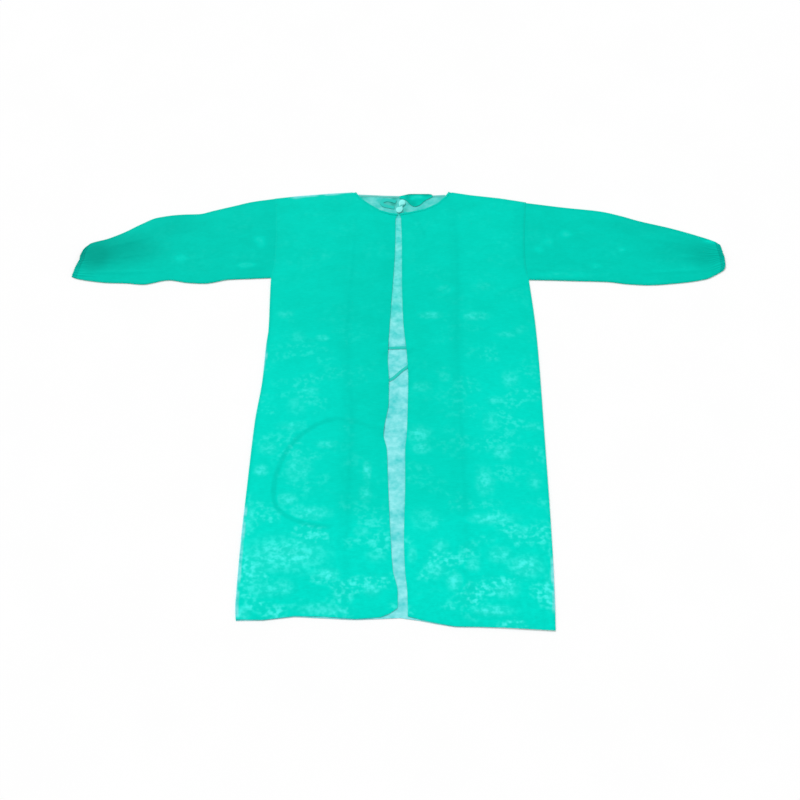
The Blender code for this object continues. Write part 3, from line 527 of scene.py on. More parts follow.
def seam_distance(panel, x, y):
    """How far each point of a back panel is from its nearest sewn edge or hem."""
    past_corner = np.maximum(0.0, (panel.corner_x - x) * panel.outward)
    shoulder_x = np.where(past_corner > 0, panel.corner_x, x)
    to_shoulder = np.hypot(past_corner, panel.shoulder(shoulder_x) - y)
    to_side = (panel.side(y) - x) * panel.outward
    return np.maximum(np.minimum.reduce([to_side, to_shoulder, y - panel.hem(x)]), 0.0)


def panel_level(panel, x, y):
    """Height on which a back panel lies, and how far each point is from its nearest seam.

    It lies low on its seams and along its free edge, and stays up wherever a tie is under it.
    """
    inside = seam_distance(panel, x, y)
    to_tie = np.minimum.reduce([distance_to_line(x, y, tie.line) for tie in HIDDEN_TIES])
    near, far = OVER_TIE
    free = ease(np.abs(x - panel.opening(y)) / FREE_EDGE)
    raised = np.maximum(free, ease((far - to_tie) / (far - near))) * ease(inside / SEAM_SLOPE)
    return LAYER_FLOOR + (TIE_CLEARANCE - LAYER_FLOOR) * raised, inside


def back_underside(panel, x, y):
    """Height of a back panel's cloth, with its folds, packing crease, crumples and hidden ties."""
    level, inside = panel_level(panel, x, y)
    lift = fold_lift(BODY_FOLDS, x, y)
    lift += np.maximum(fold_lift(BODY_CREASES, x, y), -0.0003)
    ridge = ease(1 - np.abs(x - panel.crease(y)) / CREASE_HALF_WIDTH)
    lift += CREASE_SHARE * panel.height(y) * ridge
    for tie in HIDDEN_TIES:
        ridge = ease(1.8 - distance_to_line(x, y, tie.line) / tie.half_width)
        lift += TIE_RIDGE * ridge * ease(4 * tie.darkness)
    away = 0.2 + 0.8 * ease(inside / SEAM_SLOPE)
    away *= 0.35 + 0.65 * ease(np.abs(x - panel.opening(y)) / FREE_EDGE)
    height = level + CLOTH_LIFT + lift * ease(inside / (2 * SEAM_SLOPE))
    return np.minimum(height + CRUMPLE * away * crumple(x, y, 11), MOST_LIFT + WALL - CLOTH)


def panel_columns(panel, y):
    """x of each column of a back panel at the heights y, one row each."""
    inner, outer = (np.linspace(0, 1, count)[:, None] for count in (INNER_COLUMNS, OUTER_COLUMNS))
    across = np.linspace(-1, 1, CREASE_COLUMNS + 2)[1:-1, None]
    opening, crease, side = panel.opening(y), panel.crease(y), panel.side(y)
    reach = panel.outward * CREASE_HALF_WIDTH
    near, far = crease - reach, crease + reach
    return np.vstack([
        opening + inner * (near - opening), crease + reach * across, far + outer * (side - far),
    ])


def follow_edge(columns_at, edges):
    """Where each column meets its edge, found in a few steps because columns lean a little."""
    y = np.zeros(len(edges))
    for _ in range(8):
        x = np.diagonal(columns_at(y))
        y = np.array([edge(place) for edge, place in zip(edges, x)])
    return y


def back_panel_points(panel):
    """x and y of a back panel's points, in columns from the opening to the side."""
    columns_at = lambda y: panel_columns(panel, y)
    count = INNER_COLUMNS + CREASE_COLUMNS + OUTER_COLUMNS
    on_crease, past_crease = INNER_COLUMNS + CREASE_COLUMNS // 2, INNER_COLUMNS + CREASE_COLUMNS
    top = follow_edge(columns_at, [
        panel.neck if i < on_crease else panel.shoulder for i in range(count)
    ])
    past = (np.arange(count) - on_crease) / (past_crease - on_crease)
    top -= (BINDING_WIDTH + BINDING_GAP) * np.clip(1 - past, 0, 1)
    hem = follow_edge(columns_at, [panel.hem] * count)
    below = np.linspace(0, 1, 1 + round(BELOW_UNDERARM / PANEL_STEP))[:-1, None]
    above = np.linspace(0, 1, 1 + round(ABOVE_UNDERARM / PANEL_STEP))[:, None]
    y = np.vstack([hem + below * (UNDERARM_Y - hem), UNDERARM_Y + above * (top - UNDERARM_Y)])
    x = np.array([np.diagonal(columns_at(row)) for row in y])
    return x, y


def pale_edge_share(panel, x, y):
    """0 to 1 where the layer underneath shows past a back panel's edge."""
    share = np.zeros_like(x)
    for edge in PALE_EDGES:
        if not edge.edge.startswith(panel.name):
            continue
        if edge.edge.endswith("side"):
            distance, place = (panel.side(y) - x) * panel.outward, y
        else:
            distance, place = panel.shoulder(x) - y, x
        reach = ease((place - edge.start) / 0.02) * ease((edge.end - place) / 0.02)
        uneven = 0.75 + 0.5 * soft_noise(place, place * 0, 0.02, 41)
        share = np.maximum(share, reach * ease(1.6 - 1.2 * distance / (edge.width * uneven)))
    return share


def cloth_tone(panel, x, y):
    """The back panels' tone: placed patches, hidden ties, and painted shade in the packing crease,
    at rolled edges and by the sleeve and shoulder.
    """
    tone = patch_strength(PATCHES, x, y)
    for tie in HIDDEN_TIES:
        near = ease(1.5 - 0.65 * distance_to_line(x, y, tie.line) / tie.half_width)
        # A tie shows best beyond the left crease and on the chest
        depth = tie.darkness * (0.35 + 0.65 * ease(np.maximum((-0.12 - x) / 0.07, y / 0.2)))
        tone = tone * (1 - near * np.minimum(1, 2 * depth)) - depth * near
    # Painted shade in the packing crease
    tone -= CREASE_SHADE * panel.dark(y) * shade_beside(x - panel.crease(y), CREASE_SHADE_WIDTH)
    # Painted shade where the cloth rolls under at its free edge, its side seam and its hem
    past_side = x - panel.side(y)
    tone -= 0.10 * shade_beside(x - panel.opening(y), RIM_WIDTH)
    tone -= RIM_SHADE * shade_beside(past_side, RIM_WIDTH) * ease((UNDERARM_Y - y) / 0.02)
    tone -= RIM_SHADE * shade_beside(y - panel.hem(x), 0.004)
    # It lies in shade by the sleeve and the shoulder
    by_arm = ease((np.abs(x) - 0.25) / 0.08) * ease((y - UNDERARM_Y) / 0.06)
    tone -= 0.09 * np.maximum(by_arm, ease((y - 0.50) / 0.07))
    # Painted shade along the right armhole seam
    if panel is RIGHT:
        tone -= 0.30 * shade_beside(past_side, 0.006) * ease((y - UNDERARM_Y) / 0.02)
    return tone


def hem_mottling(x, y):
    """How thickly small whitish flecks lie: few on the chest and sleeves, many near the hem."""
    dense = ease((-0.28 - y) / 0.16)
    sparse = ease((0.25 - y) / 0.3) * ease(np.abs(x) / 0.2 - 0.2)
    few = ease((-0.02 - y) / 0.2)
    return 0.04 + 0.28 * np.maximum(sparse, 0.35 * few) + 0.64 * dense


def grid_quads(rows, columns, wrap=False):
    """The faces of a grid of points; wrap joins its last column to its first."""
    index = np.arange(rows * columns).reshape(rows, columns)
    right = np.roll(index, -1, axis=1) if wrap else index[:, 1:]
    here = index if wrap else index[:, :-1]
    return np.stack([here[:-1], right[:-1], right[1:], here[1:]], axis=-1).reshape(-1, 4)


def rim_of(grid):
    """The values round the edge of a grid, in one turn."""
    return np.concatenate([grid[0], grid[1:, -1], grid[-1, -2::-1], grid[-2:0:-1, 0]])


def new_mesh(name, points, faces, layers=None):
    """A smooth mesh; layers are the values at its points that its material reads."""
    mesh = bpy.data.meshes.new(name)
    mesh.from_pydata(np.asarray(points).tolist(), [], np.asarray(faces).tolist())
    mesh.shade_smooth()
    for layer, values in (layers or {}).items():
        made = mesh.attributes.new(layer, "FLOAT", "POINT")
        made.data.foreach_set("value", np.asarray(values, np.float32).ravel())
    return mesh


def add_object(name, mesh, finish):
    obj = bpy.data.objects.new(name, mesh)
    obj.data.materials.append(finish)
    GOWN.objects.link(obj)
    return obj


def cloth_shell(name, x, y, z, layers, finish, tube_floor=None):
    """One thin layer of cloth through a grid of points.

    An open sheet is the layer's underside. A tube joins its last column to its first and is the
    layer's outer side, which looks up above the height tube_floor.
    """
    tube = tube_floor is not None
    points = np.stack([x, y, z], axis=-1).reshape(-1, 3)
    mesh = new_mesh(name, points, grid_quads(*x.shape, wrap=tube), layers)
    # A cut edge is sharp, or it would shade the cloth beside it
    corner_edges = np.empty(len(mesh.loops), np.int32)
    mesh.loops.foreach_get("edge_index", corner_edges)
    cut = np.bincount(corner_edges, minlength=len(mesh.edges)) == 1
    mesh.attributes.new("sharp_edge", "BOOLEAN", "EDGE").data.foreach_set("value", cut)
    if sum(face.normal.z for face in mesh.polygons if face.center.z > (tube_floor or 0)) < 0:
        mesh.flip_normals()
    obj = add_object(name, mesh, finish)
    solidify = obj.modifiers.new("Cloth", "SOLIDIFY")
    solidify.thickness = CLOTH
    solidify.offset = -1.0 if tube else 1.0
    solidify.use_even_offset = False
    return obj


def back_panel(panel, finish):
    """A back panel, with its cut size and area."""
    x, y = back_panel_points(panel)
    layers = {
        "tone": cloth_tone(panel, x, y),
        "mottling": hem_mottling(x, y),
        "single": pale_edge_share(panel, x, y),
    }
    name = panel.name + "_back_cloth"
    cloth = cloth_shell(name, x, y, back_underside(panel, x, y), layers, finish)
    size = tuple(round(float(np.ptp(values)), 3) + 0.001 for values in (x, y))
    rim_x, rim_y = rim_of(x), rim_of(y)
    twice = float(np.dot(rim_x, np.roll(rim_y, -1)) - np.dot(rim_y, np.roll(rim_x, -1)))
    return cloth, size, abs(twice) / 2


FRONT_TOP = (
    LEFT_SHOULDER
    + [(x, y - BINDING_WIDTH - BINDING_GAP) for x, y in FRONT_NECK]
    + RIGHT_SHOULDER
)
STRIP_LEFT, STRIP_RIGHT = -0.060, 0.045     # the opening lies between these


def front_columns(y):
    """x of each column of the front panel: close together in the opening, wide apart elsewhere."""
    left, right = column(SIDES, "left")(y), column(SIDES, "right")(y)
    outer = np.linspace(0, 1, FRONT_SIDE_COLUMNS)[:, None]
    strip = np.linspace(STRIP_LEFT, STRIP_RIGHT, FRONT_STRIP_COLUMNS)[1:-1, None] + 0 * y
    return np.vstack([
        left + outer * (STRIP_LEFT - left), strip, STRIP_RIGHT + outer * (right - STRIP_RIGHT),
    ])


def front_panel(finish):
    """The uncut panel underneath: flat below, a little crumpled where the opening shows it."""
    count = len(front_columns(np.zeros(1)))
    top, hem = (
        follow_edge(front_columns, [edge_height(edge)] * count) for edge in (FRONT_TOP, FRONT_HEM)
    )
    y = hem + np.linspace(0, 1, FRONT_ROWS)[:, None] * (top - hem)
    x = np.array([np.diagonal(front_columns(row)) for row in y])
    relief = FRONT_CRUMPLE * (crumple(x, y, 23) - 0.5) * 2
    seen = ease((x - STRIP_LEFT) / 0.03) * ease((STRIP_RIGHT - x) / 0.03)
    z = WALL - 0.0001 + relief * np.maximum(seen, ease((y - 0.49) / 0.02)) * 0.9
    quads = grid_quads(*x.shape)
    rim = rim_of(np.arange(x.size).reshape(x.shape))
    after = np.roll(rim, -1)
    sides = np.stack([after, rim, rim + x.size, after + x.size], axis=-1)
    points = np.concatenate([np.stack([x, y, height], -1).reshape(-1, 3) for height in (z, 0 * z)])
    # In the narrow upper opening less of the pale single layer shows, as painted shade; it is
    # darker at the neck, and the bow's painted shadow darkens it further
    in_gap = ease((y - 0.10) / 0.16) * ease((0.51 - y) / 0.02)
    at_neck = ease((y - 0.50) / 0.02)
    shade = np.minimum(1, patch_strength(NECK_SHADES, x, y))
    layers = {
        "tone": 0.50 * in_gap - 0.40 * at_neck - 0.6 * shade,
        "mottling": 0.2 + 0 * x,
        "single": (1 - 0.42 * in_gap - 0.45 * at_neck) * (1 - 0.8 * shade),
    }
    mesh = new_mesh("front_cloth", points, np.vstack([quads, quads[:, ::-1] + x.size, sides]), {
        layer: np.tile(values.ravel(), 2) for layer, values in layers.items()
    })
    mesh.set_sharp_from_angle(angle=math.radians(60))
    return add_object("front_cloth", mesh, finish)


Arm = namedtuple("Arm", "side outward rows wrist folds seed")
ARMS = [
    Arm("left", -1, LEFT_SLEEVE, LEFT_WRIST, LEFT_SLEEVE_FOLDS + LEFT_SLEEVE_CREASES, 71),
    Arm("right", 1, RIGHT_SLEEVE, RIGHT_WRIST, RIGHT_SLEEVE_FOLDS + RIGHT_SLEEVE_CREASES, 83),
]


def sleeve_roof(arm, out, y, across):
    """Height of the outer face of a sleeve's upper layer."""
    start, end = arm.rows[0].out, arm.rows[-1].out
    edge = ease(np.minimum(across, 1 - across) / PUFF_EDGE)
    level = ease((out - start) / ARMHOLE_EASE)
    puff = SLEEVE_PUFF * np.sin(math.pi * across) * level
    # The gathers wander, and each has its own width, height and reach
    wander = 0.03 * soft_noise(out, across * 0.25, 0.045, arm.seed)
    spread = 0.02 * soft_noise(across, 0 * across, 0.11, arm.seed + 6)
    phase = (across + wander + spread) * GATHERS
    which = soft_noise(np.floor(phase), 0 * phase, 1.3, arm.seed + 5)
    near_wrist = ease(1 - (end - out) / (GATHER_REACH * (0.75 + 0.55 * which)))
    wave = 0.5 - 0.5 * np.cos(2 * math.pi * phase)
    gathers = GATHER_HEIGHT * near_wrist * wave * (0.7 + 0.5 * which)
    x = arm.outward * out
    lift = fold_lift(arm.folds, x, y) * (1 - 0.4 * near_wrist) * level
    fine = SLEEVE_CRUMPLE * crumple(x, y, arm.seed) * (0.25 + 0.75 * level)
    seam_top = LAYER_FLOOR + CLOTH_LIFT + CLOTH
    roof = seam_top + edge * (puff + gathers + lift) + (0.3 + 0.7 * edge) * fine
    return np.minimum(roof, MOST_LIFT + WALL)


def sleeve_points(arm, stations, ruffle=0.0):
    """Rings of points on a sleeve's outer face, flat below, folded at its two edges."""
    start, end = arm.rows[0].out, arm.rows[-1].out
    out = np.array(stations)[:, None]
    low, high = (column(arm.rows, edge, by="out")(out) for edge in ("low", "high"))
    inset = FOLD_RADIUS
    y_under, y_over = (
        low + inset + np.linspace(*ends)[None, :] * (high - low - 2 * inset)
        for ends in ((0, 1, UNDER_POINTS), (1, 0, OVER_POINTS))
    )
    z_over = sleeve_roof(arm, out + 0 * y_over, y_over, (y_over - low) / (high - low))
    bend = np.linspace(-90, 90, EDGE_POINTS + 2)[None, 1:-1] * math.pi / 180
    y_high = high - inset + inset * np.cos(bend)
    z_high = z_over[:, :1] / 2 * (1 + np.sin(bend))
    y_low = low + inset - inset * np.cos(bend)
    z_low = z_over[:, -1:] / 2 * (1 - np.sin(bend))
    y = np.hstack([y_under, y_high, y_over, y_low])
    z = np.hstack([0 * y_under, z_high, z_over, z_low])
    out = out + 0 * y
    across = (y - low) / (high - low)
    slant = np.interp(across, *zip(*arm.wrist)) * ease((out - start) / (end - start))
    to_armhole = np.abs(column(SIDES, arm.side)(y)) - start
    seam_shift = to_armhole * np.maximum(0.0, 1 - (out - start) / ARMHOLE_BLEND)
    scallop = ruffle * np.cos(2 * math.pi * across * GATHERS)
    scallop = scallop * ease((out - end + RUFFLE_DEPTH) / RUFFLE_DEPTH)
    return arm.outward * (out + slant + seam_shift + SEWN_GAP + scallop), y, z


def sleeve_tube(name, arm, points, finish):
    """A sleeve or wrist band through rings of points, in shade along its two folded edges."""
    x, y, z = points
    low, high = y.min(axis=1, keepdims=True), y.max(axis=1, keepdims=True)
    tone = patch_strength(PATCHES, x, y) - SLEEVE_DEPTH
    tone -= RIM_SHADE * shade_beside(np.minimum(y - low, high - y), RIM_WIDTH)
    layers = {"tone": tone, "mottling": 0.03 + 0 * x, "single": 0 * x}
    return cloth_shell(arm.side + name, x, y, z, layers, finish, WALL)


def sleeve(arm, finish):
    """A sleeve, with rings that stand closer together towards the wrist."""
    start, end = arm.rows[0].out, arm.rows[-1].out - CUFF_LENGTH - SEWN_GAP
    places = np.linspace(0, 1, round((end - start) / SLEEVE_STEP)) ** 0.85
    points = sleeve_points(arm, start + (end - start) * places)
    return sleeve_tube("_sleeve_cloth", arm, points, finish)


def wrist_band(arm, finish):
    """The elasticated wrist edge, gathered like the sleeve that runs into it."""
    end = arm.rows[-1].out
    x, y, z = sleeve_points(arm, np.linspace(end - CUFF_LENGTH, end, CUFF_ROWS), RUFFLE)
    over_elastic = np.cos(np.linspace(0, 1, CUFF_ROWS)[:, None] * 2 * math.pi)
    z = np.where(z > WALL, z + ELASTIC_RISE * over_elastic, z)
    return sleeve_tube("_wrist_band", arm, (x, y, z), finish)


def swept_strip(name, line, sections, finish):
    """A closed strip along a line, with one closed section at each point of it.

    A section is points (across, up), across to the left of the direction of travel.
    """
    rings = []
    for i, (point, section) in enumerate(zip(line, sections)):
        run = line[min(i + 1, len(line) - 1)] - line[max(i - 1, 0)]
        across = np.array([-run[1], run[0]]) / np.hypot(*run)
        rings.append([(*(point + across * side), up) for side, up in section])
    size = len(rings[0])
    faces = grid_quads(len(rings), size, wrap=True).tolist()
    for start in (0, (len(rings) - 1) * size):
        for j in range(size // 2 - 1):
            k = size - 1 - j
            faces.append([start + j, start + j + 1, start + k - 1, start + k])
    mesh = new_mesh(name, np.reshape(rings, (-1, 3)), faces)
    work = bmesh.new()
    work.from_mesh(mesh)
    bmesh.ops.recalc_face_normals(work, faces=work.faces)
    work.to_mesh(mesh)
    work.free()
    mesh.set_sharp_from_angle(angle=math.radians(55))
    return add_object(name, mesh, finish)


def skin_of(path):
    """The closed section of a cloth layer whose middle follows a path of (across, up) points."""
    path = np.array(path)
    runs = np.gradient(path, axis=0)
    normals = np.stack([-runs[:, 1], runs[:, 0]], axis=1)
    normals /= np.linalg.norm(normals, axis=1)[:, None]
    offset = normals * CLOTH / 2
    return np.vstack([path + offset, (path - offset)[::-1]])


def waist_tie(name, route, width, seed, finish):
    """A tie cut from the cloth, lying creased lengthways on the front panel."""
    line, length = route_line(route, STRIP_STEP)
    across = np.linspace(-0.5, 0.5, 9)
    sections = []
    for travel in np.linspace(0, length, len(line)):
        roll = soft_noise(travel, 0.0, 0.035, seed)
        crease = 0.5 + 0.5 * np.cos(2 * math.pi * (across * 1.5 + 0.25 * roll))
        fine = soft_noise(travel, across * width * 2, 0.007, seed + 1)
        up = LAYER_FLOOR + CLOTH / 2 + TIE_PLEAT * crease + TIE_CRUMPLE * (1 + fine)
        sections.append(skin_of(np.stack([across * width * (1 - 0.05 * (1 + roll)), up], 1)))
    return swept_strip(name, line, sections, finish), length


def folded_section(open_edge, fold, middle, slack, half_gap=TAPE_HALF_GAP):
    """Section of a tape folded double, between the shares across of its open edges and its fold.

    slack bellies the upper skin a little, between its two edges.
    """
    bend = np.radians(np.linspace(-75, 75, 5))
    flat = np.linspace(open_edge, fold - 2 * half_gap, 6)
    belly = slack * np.sin(np.linspace(0, math.pi, 6))
    lower = [(across, middle - half_gap) for across in flat]
    turn = [(fold + half_gap * (math.cos(a) - 1.5), middle + half_gap * math.sin(a)) for a in bend]
    upper = [(across, middle + half_gap + up) for across, up in zip(flat, belly)]
    return skin_of(lower + turn + upper[::-1])


def neck_tape(name, edge, low_z, finish):
    """A tape folded over a neck edge: an upper and a lower skin that meet in a round fold."""
    line, length = respaced(np.array(edge), STRIP_STEP, spare=0)
    sections = []
    for x, y in line:
        slack = 0.00016 * (1 + soft_noise(x, y, 0.012, 61))
        middle = low_z(x, y) + TAPE_MIDDLE
        sections.append(folded_section(0.0001 - BINDING_WIDTH, 0.0, middle, slack))
    return swept_strip(name, line, sections, finish), length


def neck_tie(name, route, width, seed, finish):
    """An end of the neck tape, still folded double, lying on the front panel."""
    line, length = route_line(route, NECK_TIE_STEP)
    middle = LAYER_FLOOR + CLOTH / 2 + TIE_HALF_GAP
    sections = []
    for travel in np.linspace(0, length, len(line)):
        narrow = width / 2 * (1 - 0.07 * (1 + soft_noise(travel, 0.0, 0.018, seed)))
        slack = 0.00008 * (1 + soft_noise(travel, 0.0, 0.009, seed + 1))
        sections.append(folded_section(-narrow, narrow, middle, slack, TIE_HALF_GAP))
    return swept_strip(name, line, sections, finish), length


def opened_loop(name, rows, finish):
    """The right loop of the neck bow, opened out like a leaf: tape doubled back on itself."""
    x = np.linspace(rows[0].x + 0.0003, rows[-1].x - 0.0003, 70)[:, None]
    low, high = (column(rows, edge, by="x")(x) for edge in ("low", "high"))
    across = np.concatenate([[0, 0.02], np.linspace(0.05, 0.95, 24), [0.98, 1]])
    lift = np.array([0.5, 0.15] + [0.0] * 24 + [0.15, 0.5])
    doubled = 2 * CLOTH + 0.0001
    y = low + np.concatenate([across, across[-2:0:-1]]) * (high - low)
    x = x + 0 * y
    top = doubled + fold_lift(LOOP_CREASES, x, y) + LOOP_CRUMPLE * crumple(x * 2, y * 2, 131)
    share = np.concatenate([lift, 1 - lift[-2:0:-1]])
    z = LAYER_FLOOR + share * np.where(share > 0.5, top, doubled)
    tone = -0.10 - patch_strength(LOOP_SHADES, x, y)
    layers = {"tone": tone, "mottling": 0 * x, "single": 0 * x}
    return cloth_shell(name, x, y, z, layers, finish, LAYER_FLOOR + CLOTH)


def back_neck_edge(panel):
    """The finished neck edge of a back panel, in order of x."""
    opening_x = float(panel.opening(0.52))
    return [
        (x, float(panel.neck(x))) for x in sorted(np.linspace(opening_x, panel.corner_x, 40))
    ]


def tied_knot(finish):
    """The knot of the neck ties: two small lobes of creased strip, with a deep turn between."""
    shadows = []
    work = bmesh.new()
    bmesh.ops.create_uvsphere(work, u_segments=64, v_segments=48, radius=1.0)
    bmesh.ops.rotate(work, verts=work.verts, matrix=Matrix.Rotation(math.pi / 2, 3, "X"))
    for vert in work.verts:
        # The turn between the lobes leans a little, and fine pleats run over both lobes
        place = vert.co.copy()
        round_axis = math.atan2(place.z, place.x)
        groove = math.exp(-(((place.y - 0.25 * place.x) / 0.13) ** 2))
        pleats = 0.04 * math.sin(7 * round_axis + 3 * place.y) * (1 - groove)
        reach = abs(place.y)
        lobes = (KNOT_WAIST ** 4 + (4 * reach / (1 + reach)) ** 2) ** 0.25
        place.x *= lobes * (1 + pleats)
        place.z *= lobes * (1 + 0.8 * pleats) - 0.25 * groove
        vert.co = Vector(KNOT_RADII) * place
        # Painted shade in the turn between the lobes
        shadows.append(-0.9 * groove)
    bmesh.ops.rotate(work, verts=work.verts, matrix=Matrix.Rotation(KNOT_LEAN, 3, "Z"))
    height = LAYER_FLOOR + KNOT_RADII[2]
    bmesh.ops.translate(work, verts=work.verts, vec=(*KNOT_CENTRE, height))
    mesh = bpy.data.meshes.new("tied_knot")
    work.to_mesh(mesh)
    work.free()
    mesh.shade_smooth()
    mesh.attributes.new("tone", "FLOAT", "POINT").data.foreach_set("value", shadows)
    return add_object("tied_knot", mesh, finish)


def add_node(tree, kind, settings=None, inputs=None):
    """Adds one node; inputs are numbers, colours, or other nodes' outputs to link from."""
    node = tree.nodes.new(kind)
    for name, value in (settings or {}).items():
        setattr(node, name, value)
    for socket, value in (inputs or {}).items():
        if isinstance(value, bpy.types.NodeSocket):
            tree.links.new(value, node.inputs[socket])
        else:
            node.inputs[socket].default_value = value
    return node


def colour(code):
    """Linear RGBA of an sRGB hex code."""
    values = [int(code[i:i + 2], 16) / 255 for i in (0, 2, 4)]
    linear = [v / 12.92 if v <= 0.04045 else ((v + 0.055) / 1.055) ** 2.4 for v in values]
    return (*linear, 1.0)


def stitch_tree():
    """Geometry nodes that lay a row of short stitches along a curve."""
    tree = bpy.data.node_groups.new("Seam stitches", "GeometryNodeTree")
    face = tree.interface
    face.new_socket("Seam", in_out="INPUT", socket_type="NodeSocketGeometry")
    for label, size in (("Pitch", 0.0036), ("Stitch length", 0.0026), ("Thread radius", 0.00026)):
        socket = face.new_socket(label, in_out="INPUT", socket_type="NodeSocketFloat")
        socket.default_value = size
    face.new_socket("Thread", in_out="INPUT", socket_type="NodeSocketMaterial")
    face.new_socket("Stitches", in_out="OUTPUT", socket_type="NodeSocketGeometry")
    given = add_node(tree, "NodeGroupInput").outputs
    points = add_node(tree, "GeometryNodeCurveToPoints", {"mode": "LENGTH"}, {
        "Curve": given["Seam"], "Length": given["Pitch"],
    }).outputs
    half = add_node(tree, "ShaderNodeMath", {"operation": "MULTIPLY"}, {
        0: given["Stitch length"], 1: 0.5,
    }).outputs[0]
    size = add_node(tree, "ShaderNodeCombineXYZ", None, {
        "X": given["Thread radius"], "Y": given["Thread radius"], "Z": half,
    }).outputs[0]
    grain = add_node(tree, "GeometryNodeMeshUVSphere", None, {
        "Segments": 6, "Rings": 5, "Radius": 1.0,
    }).outputs["Mesh"]
    laid = add_node(tree, "GeometryNodeInstanceOnPoints", None, {
        "Points": points["Points"], "Instance": grain, "Rotation": points["Rotation"],
        "Scale": size,
    }).outputs[0]
    real = add_node(tree, "GeometryNodeRealizeInstances", None, {0: laid}).outputs[0]
    smooth = add_node(tree, "GeometryNodeSetShadeSmooth", None, {0: real}).outputs[0]
    coloured = add_node(tree, "GeometryNodeSetMaterial", None, {
        "Geometry": smooth, "Material": given["Thread"],
    }).outputs[0]
    add_node(tree, "NodeGroupOutput", None, {"Stitches": coloured})
    return tree


def stitches(name, seams, thread):
    """Stitches along several seams, each a list of points, as one plain mesh."""
    guide = bpy.data.curves.new(name + "_guide", "CURVE")
    guide.dimensions = "3D"
    for seam in seams:
        spline = guide.splines.new("POLY")
        spline.points.add(len(seam) - 1)
        for point, place in zip(spline.points, seam):
            point.co = (*place, 1)
    helper = bpy.data.objects.new(name + "_guide", guide)
    GOWN.objects.link(helper)
    modifier = helper.modifiers.new("Stitches", "NODES")
    modifier.node_group = STITCH_TREE
    for item in STITCH_TREE.interface.items_tree:
        if item.in_out == "INPUT" and item.name == "Thread":
            modifier[item.identifier] = thread
    graph = bpy.context.evaluated_depsgraph_get()
    mesh = bpy.data.meshes.new_from_object(helper.evaluated_get(graph), depsgraph=graph)
    bpy.data.objects.remove(helper)
    mesh.name = name
    mesh.materials.clear()
    return add_object(name, mesh, thread)


def on_panel(panel, x, y):
    """Points that lie on a back panel's upper face."""
    z = back_underside(panel, x, y) + CLOTH + PANEL_STITCH_LIFT
    return np.stack([x, y, z], axis=1).tolist()


def body_seams():
    """Stitch lines of the sides, armholes and shoulders, on the upper faces."""
    lines = []
    for panel, hem_y in ((LEFT, -0.556), (RIGHT, -0.580)):
        corner_y = float(panel.shoulder(panel.side(0.56)))
        for start, end, count, inset in (
            (hem_y, UNDERARM_Y - 0.006, 220, SIDE_STITCH),
            (UNDERARM_Y + 0.003, corner_y - 0.006, 70, ARMHOLE_STITCH),
        ):
            y = np.linspace(start, end, count)
            lines.append(on_panel(panel, panel.side(y) - panel.outward * inset, y))
        x = np.linspace(panel.corner_x + panel.outward * 0.012, panel.outward * 0.330, 60)
        lines.append(on_panel(panel, x, panel.shoulder(x) - SHOULDER_STITCH))
    return lines


def sleeve_seam(arm):
    """The stitch line along the underarm edge of a sleeve."""
    end = arm.rows[-1].out - CUFF_LENGTH - 0.003
    points = sleeve_points(arm, np.linspace(arm.rows[0].out + 0.004, end, 140))
    _, y, z = points
    low = y.min(axis=1, keepdims=True)
    pick = np.where(z > LAYER_FLOOR, np.abs(y - low - SLEEVE_STITCH), 1.0).argmin(axis=1)
    line = np.stack([values[np.arange(len(pick)), pick] for values in points], axis=1)
    return (line + (0, 0, STITCH_LIFT)).tolist()


def wrist_seams(arm):
    """Two stitch lines round the top of a wrist band, over its elastic."""
    first = UNDER_POINTS + EDGE_POINTS
    lines = []
    for back in CUFF_STITCHES:
        points = sleeve_points(arm, [arm.rows[-1].out - back])
        line = np.stack([values[0, first + 3:first + OVER_POINTS - 3] for values in points], 1)
        lines.append((line + (0, 0, CUFF_STITCH_LIFT)).tolist())
    return lines


def tape_seams():
    """The stitch line along the middle of each neck tape."""
    top = TAPE_MIDDLE + TAPE_HALF_GAP + CLOTH / 2
    lines = []
    for panel in (LEFT, RIGHT):
        x, y = np.array(back_neck_edge(panel)).T
        z = tape_underside(panel)(x, y) + top + STITCH_LIFT
        lines.append(np.stack([x, y - TAPE_STITCH, z], axis=1).tolist())
    x = np.linspace(-0.108, 0.118, 60)
    y = edge_height(FRONT_NECK)(x) - TAPE_STITCH
    lines.append(np.stack([x, y, 0 * x + top], axis=1).tolist())
    return lines


def tape_underside(panel):
    """The height of the solid under a back panel's neck tape."""
    def height(x, y):
        x, y = np.asarray(x, float), np.asarray(y, float) - BINDING_WIDTH
        level, inside = panel_level(panel, x, y)
        return level + fold_lift(BODY_FOLDS, x, y) * ease(inside / (2 * SEAM_SLOPE))
    return height


def new_finish(name, settings):
    """A new material with its shader's settings, its nodes and the piece's own coordinates."""
    made = bpy.data.materials.new(name)
    made.use_nodes = True
    shader = made.node_tree.nodes["Principled BSDF"]
    for socket, value in settings.items():
        shader.inputs[socket].default_value = value
    place = add_node(made.node_tree, "ShaderNodeTexCoord").outputs["Object"]
    return made, made.node_tree, shader, place


# Shades of the cloth: where the web is thick and where it is thinner, darker for painted shade and
# where more cloth lies behind, mottled and whitish, and of a single layer, thick and thin. Ties
# and tapes show only the first few.
Shades = namedtuple("Shades", "deep mid dark thinned pale single thin", defaults=(
    "00a592", "01dfca", "43f0e6", "50d4d4", "98eff2",
))


